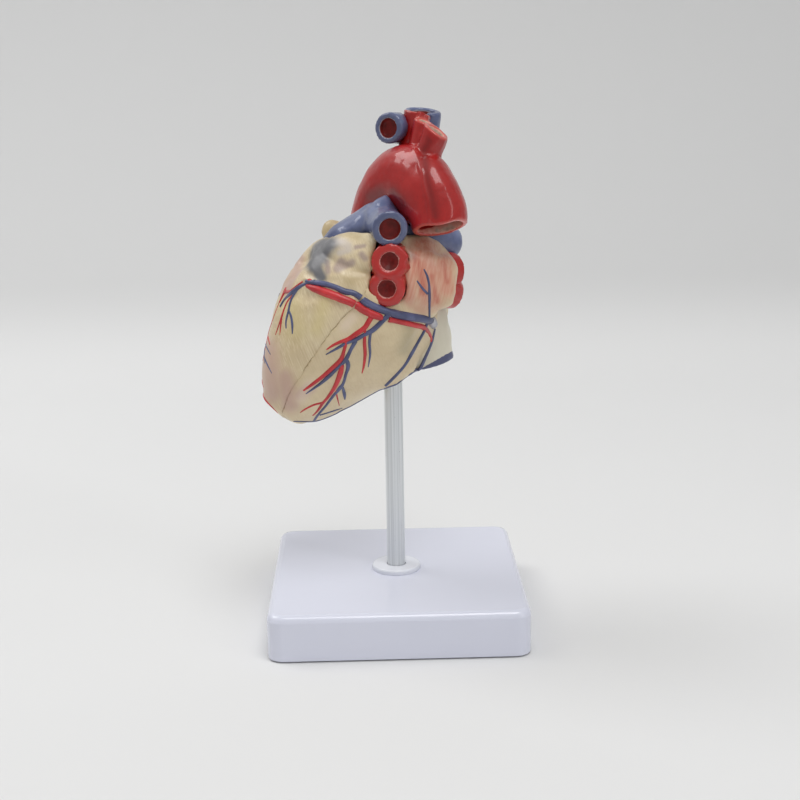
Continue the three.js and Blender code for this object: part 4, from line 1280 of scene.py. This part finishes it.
def make_aorta():
    """The aortic arch with its branches."""
    aorta = soft_casting("aortic_arch", voxel=0.7 * MM, unevenness=0.0004)
    roots = heart_path(((9, -4, 107), (4, -13, 109), (2, -20, 106)))
    fillet(aorta, vicinity(aorta, roots), spread=7, passes=60)
    skin = Skin([aorta])
    ridge = [(414, 150), (419, 160), (423, 174), (424, 186), (428, 200), (430, 216)]
    raise_along(aorta, [skin.under_pixel(*p)[0] for p in ridge], 0.0011, 0.0006)
    bore_masks(aorta, AORTIC_BORES)
    draw_out(
        [aorta], skin, ((436, 132), (1.2, 0.0), 6), ((453, 172), (-2.0, 0.0), 12), ((440, 219), (0.0, -2.0), 7)
    )
    # a darker strip down the arch's right side, and painted shade on the arch at both sides of the pulmonary
    # artery's peak
    spots(aorta, skin, "band", [
        (4.5, (430, 138), (424, 150), (426, 170), (430, 190), (434, 208), (437, 224)),
        (7, (370, 196), (380, 192)), (5, (393, 192), (402, 206)),
    ])
    branches = [axis for axis, _ in AORTIC_BORES[1:]]
    for axis, cut in zip(branches, ((0.1, 0.1, -1.2), (0.26, 0.16, -1.9), (0.24, 0.34, -1.0))):
        slant(aorta, axis, 7.5, *cut, others=[other for other in branches if other is not axis])
    dress(aorta, material(*AORTA_RED), "aortic_arch")


def make_pulmonary_artery():
    """The pulmonary artery."""
    artery = soft_casting("pulmonary_artery", voxel=0.7 * MM)
    skin = Skin([artery])
    crease = skin.under_pixel(368, 212)[0]
    fillet(artery, vicinity(artery, [crease]), spread=8, passes=120)
    draw_out([artery], skin, ((348, 216), (0.0, -2.6), 8))
    draw_out([artery], skin, ((386, 202), (0.0, 3.4), 8), sharp=True)
    bore_masks(artery, [([(-20, -17, 86), (-26, -25, 85.6)], 5.1)])
    # painted shade on the artery under the aortic arch
    spots(artery, Skin([artery]), "band", [(4, (392, 206), (408, 220))])
    dress(artery, material(*ARTERY_BLUE), "pulmonary_artery")


def make_great_veins():
    """The upper great vein with its side branch."""
    upper = soft_casting("superior_vena_cava", voxel=0.7 * MM)
    draw_out([upper], Skin([upper]), ((437, 116), (1.5, 0.0), 8))
    slant(upper, UPPER_VEIN_BORES[0][0], 12, 0.15, 0.05, 0.4)
    bore_masks(upper, UPPER_VEIN_BORES)
    put_mask(upper, "band", np.zeros(len(upper.data.vertices)))
    dress(upper, material(*ARTERY_BLUE), "superior_vena_cava")


def make_lung_veins():
    """The two pairs of lung veins."""
    left = soft_casting("left_pulmonary_veins", voxel=0.55 * MM)
    right = soft_casting("right_pulmonary_veins", voxel=0.55 * MM)
    bore_masks(left, LEFT_VEIN_BORES)
    bore_masks(right, RIGHT_VEIN_BORES)
    draw_out([left], Skin([left]), ((408.5, 264.5), (-1.1, 0.0), 2), ((405.5, 256), (1.0, 0.0), 2.5))
    for veins in (left, right):
        fillet(veins, np.ones(len(veins.data.vertices)), spread=6, passes=120)
        put_mask(veins, "band", np.zeros(len(veins.data.vertices)))
        dress(veins, material(*LUNG_VEIN_RED), veins.name.removesuffix("_cast"))


def make_inner_pieces():
    """The valves, the locating pins and the sleeve on the rod."""
    for name in ("mitral_valve", "tricuspid_valve", "aortic_valve", "pulmonary_valve"):
        dress(moulded_copy(name, 0.2 * MM), material("valve_tissue", tissue), name)
    for name in ("locating_pin_1", "locating_pin_2", "locating_pin_3"):
        dress(moulded_copy(name), material(*STEEL), name)
    dress(moulded_copy("rod_socket"), material(*ALUMINIUM), "rod_socket")


def make_stand():
    """The base with its feet, the collar, the rod, its screw and the washer."""
    for name, paint in STAND_PAINTS.items():
        dress(moulded_copy(name), material(*paint), name)


# ---------------------------------------------------------------- stage


def make_camera():
    """The camera of the photograph."""
    stage = bpy.context.scene.heart_stage
    right, up, back = camera_axes(stage)
    data = bpy.data.cameras.new("camera")
    data.lens = stage.lens
    data.sensor_width = SENSOR
    data.clip_start = 0.01
    camera = bpy.data.objects.new("camera", data)
    turn = Matrix((right, up, back)).transposed()
    camera.matrix_world = Matrix.Translation(stage.place) @ turn.to_4x4()
    bpy.context.scene.collection.objects.link(camera)
    bpy.context.scene.camera = camera


def make_sweep():
    """The floor and the backdrop as one sheet: a profile drawn out sideways."""
    stage = bpy.context.scene.heart_stage
    forward, top, aside, steps = 3.0, 4.0, 4, 16  # how far the sheet reaches in metres, and the curve's facets
    cells = bmesh.new()
    profile = [(-forward, 0.0)]
    for i in range(steps + 1):
        angle = i / steps * math.pi / 2
        profile.append((
            stage.sweep_start + stage.sweep_radius * math.sin(angle),
            stage.sweep_radius * (1 - math.cos(angle)),
        ))
    profile.append((profile[-1][0], top))
    knots = [cells.verts.new((-aside, y, z)) for y, z in profile]
    edges = [cells.edges.new(pair) for pair in zip(knots[:-1], knots[1:])]
    drawn = bmesh.ops.extrude_edge_only(cells, edges=edges)
    moved = [v for v in drawn["geom"] if isinstance(v, bmesh.types.BMVert)]
    bmesh.ops.translate(cells, verts=moved, vec=(2 * aside, 0, 0))
    for face in cells.faces:
        face.smooth = True
        face.normal_update()
    if cells.faces[:][0].normal.z < 0:
        bmesh.ops.reverse_faces(cells, faces=cells.faces)
    mesh = bpy.data.meshes.new("sweep")
    cells.to_mesh(mesh)
    cells.free()
    sweep = new_object("sweep", mesh)
    mesh.materials.append(material("sweep_paper", matte, (229, 229, 229), (226, 226, 226)))
    sweep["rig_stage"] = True


def make_light(name, place, target, size, power):
    """A softbox that points at a target."""
    data = bpy.data.lights.new(name, "AREA")
    data.shape = "RECTANGLE"
    data.size, data.size_y = size
    data.energy = power
    lamp = bpy.data.objects.new(name, data)
    lamp.location = place
    lamp.rotation_euler = (Vector(target) - Vector(place)).to_track_quat("-Z", "Y").to_euler()
    bpy.context.scene.collection.objects.link(lamp)


def make_lights():
    """The three softboxes, and the light from all round, which is brighter from above."""
    stage = bpy.context.scene.heart_stage
    make_light("key", (0.3, -0.7, 2.05), (0, 0.05, 0.1), (1.0, 1.0), stage.key_power)
    make_light("left", (-0.95, 0.35, 1.4), (0, 0, 0.15), (0.8, 0.8), stage.left_power)
    make_light("side", (0.95, -0.75, 0.75), (0, 0, 0.2), (0.22, 0.9), stage.side_power)
    world = bpy.data.worlds.new("studio")
    world.use_nodes = True
    sky = world.node_tree.nodes["Background"]
    nodes = Nodes(world.node_tree)
    place = nodes.node("ShaderNodeTexCoord", "Generated", {}, {})
    height = nodes.node("ShaderNodeSeparateXYZ", "Z", {}, {0: place})
    nodes.feed(sky.inputs["Color"], nodes.blend((206, 207, 208), (250, 250, 248), height))
    nodes.feed(sky.inputs["Strength"], stage.ambient)
    bpy.context.scene.world = world
    bpy.context.scene.view_settings.view_transform = "Standard"


# ---------------------------------------------------------------- operators


class HEART_OT_camera(bpy.types.Operator):
    """Puts the camera where the photograph was taken"""

    bl_idname = "heart.camera"
    bl_label = "Camera"

    def execute(self, context):
        make_camera()
        return {"FINISHED"}


class HEART_OT_walls(bpy.types.Operator):
    """Casts and paints the front wall, and the rear half with its atria and lower vein"""

    bl_idname = "heart.walls"
    bl_label = "Front and rear halves"

    def execute(self, context):
        make_walls()
        return {"FINISHED"}


class HEART_OT_auricle(bpy.types.Operator):
    """Casts and paints the right auricle"""

    bl_idname = "heart.auricle"
    bl_label = "Right auricle"

    def execute(self, context):
        make_auricle()
        return {"FINISHED"}


class HEART_OT_coronaries(bpy.types.Operator):
    """Lays the coronary arteries and veins over the walls"""

    bl_idname = "heart.coronaries"
    bl_label = "Coronary vessels"

    def execute(self, context):
        make_coronaries()
        return {"FINISHED"}


class HEART_OT_aorta(bpy.types.Operator):
    """Casts and enamels the aortic arch with its branches"""

    bl_idname = "heart.aorta"
    bl_label = "Aortic arch"

    def execute(self, context):
        make_aorta()
        return {"FINISHED"}


class HEART_OT_pulmonary_artery(bpy.types.Operator):
    """Casts and enamels the pulmonary artery"""

    bl_idname = "heart.pulmonary_artery"
    bl_label = "Pulmonary artery"

    def execute(self, context):
        make_pulmonary_artery()
        return {"FINISHED"}


class HEART_OT_great_veins(bpy.types.Operator):
    """Casts and enamels the upper great vein"""

    bl_idname = "heart.great_veins"
    bl_label = "Upper great vein"

    def execute(self, context):
        make_great_veins()
        return {"FINISHED"}


class HEART_OT_lung_veins(bpy.types.Operator):
    """Casts and enamels the two pairs of lung veins"""

    bl_idname = "heart.lung_veins"
    bl_label = "Lung veins"

    def execute(self, context):
        make_lung_veins()
        return {"FINISHED"}


class HEART_OT_inner_pieces(bpy.types.Operator):
    """Finishes the valves, the locating pins and the sleeve on the rod"""

    bl_idname = "heart.inner_pieces"
    bl_label = "Inner pieces"

    def execute(self, context):
        make_inner_pieces()
        return {"FINISHED"}


class HEART_OT_stand(bpy.types.Operator):
    """Finishes the base, the collar, the rod, its screw and the feet"""

    bl_idname = "heart.stand"
    bl_label = "Stand"

    def execute(self, context):
        make_stand()
        return {"FINISHED"}


class HEART_OT_stage(bpy.types.Operator):
    """Builds the floor, the backdrop and the lights"""

    bl_idname = "heart.stage"
    bl_label = "Stage"

    def execute(self, context):
        make_sweep()
        make_lights()
        return {"FINISHED"}


STEPS = (
    HEART_OT_camera, HEART_OT_walls, HEART_OT_auricle, HEART_OT_coronaries, HEART_OT_aorta,
    HEART_OT_pulmonary_artery, HEART_OT_great_veins, HEART_OT_lung_veins, HEART_OT_inner_pieces,
    HEART_OT_stand, HEART_OT_stage,
)


class HEART_PT_panel(bpy.types.Panel):
    """The steps and their settings in the sidebar"""

    bl_idname = "HEART_PT_panel"
    bl_label = "Heart model"
    bl_space_type = "VIEW_3D"
    bl_region_type = "UI"
    bl_category = "Heart model"

    def draw(self, context):
        for group in SETTINGS:
            settings = getattr(context.scene, group)
            box = self.layout.box()
            for name in settings.__annotations__:
                box.prop(settings, name)
        for step in STEPS:
            self.layout.operator(step.bl_idname)


SETTINGS = {"heart_stage": HeartStageSettings, "heart_forms": HeartFormSettings, "heart_paints": HeartPaintSettings}
CLASSES = (*SETTINGS.values(), *STEPS, HEART_PT_panel)


def register():
    for cls in CLASSES:
        bpy.utils.register_class(cls)
    for name, settings in SETTINGS.items():
        setattr(bpy.types.Scene, name, PointerProperty(type=settings))


def unregister():
    for name in SETTINGS:
        delattr(bpy.types.Scene, name)
    for cls in reversed(CLASSES):
        bpy.utils.unregister_class(cls)


def write_size():
    """Works out the CAD's box and the dressed model's box as lists of numbers, which are not kept."""
    boxes = {"cad": CAD_BOX, "visual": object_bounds()}
    {name: [[float(x) for x in corner] for corner in box] for name, box in boxes.items()}


def main():
    register()
    for step in STEPS:
        group, name = step.bl_idname.split(".")
        getattr(getattr(bpy.ops, group), name)()
    write_size()


if __name__ == "__main__":
    main()
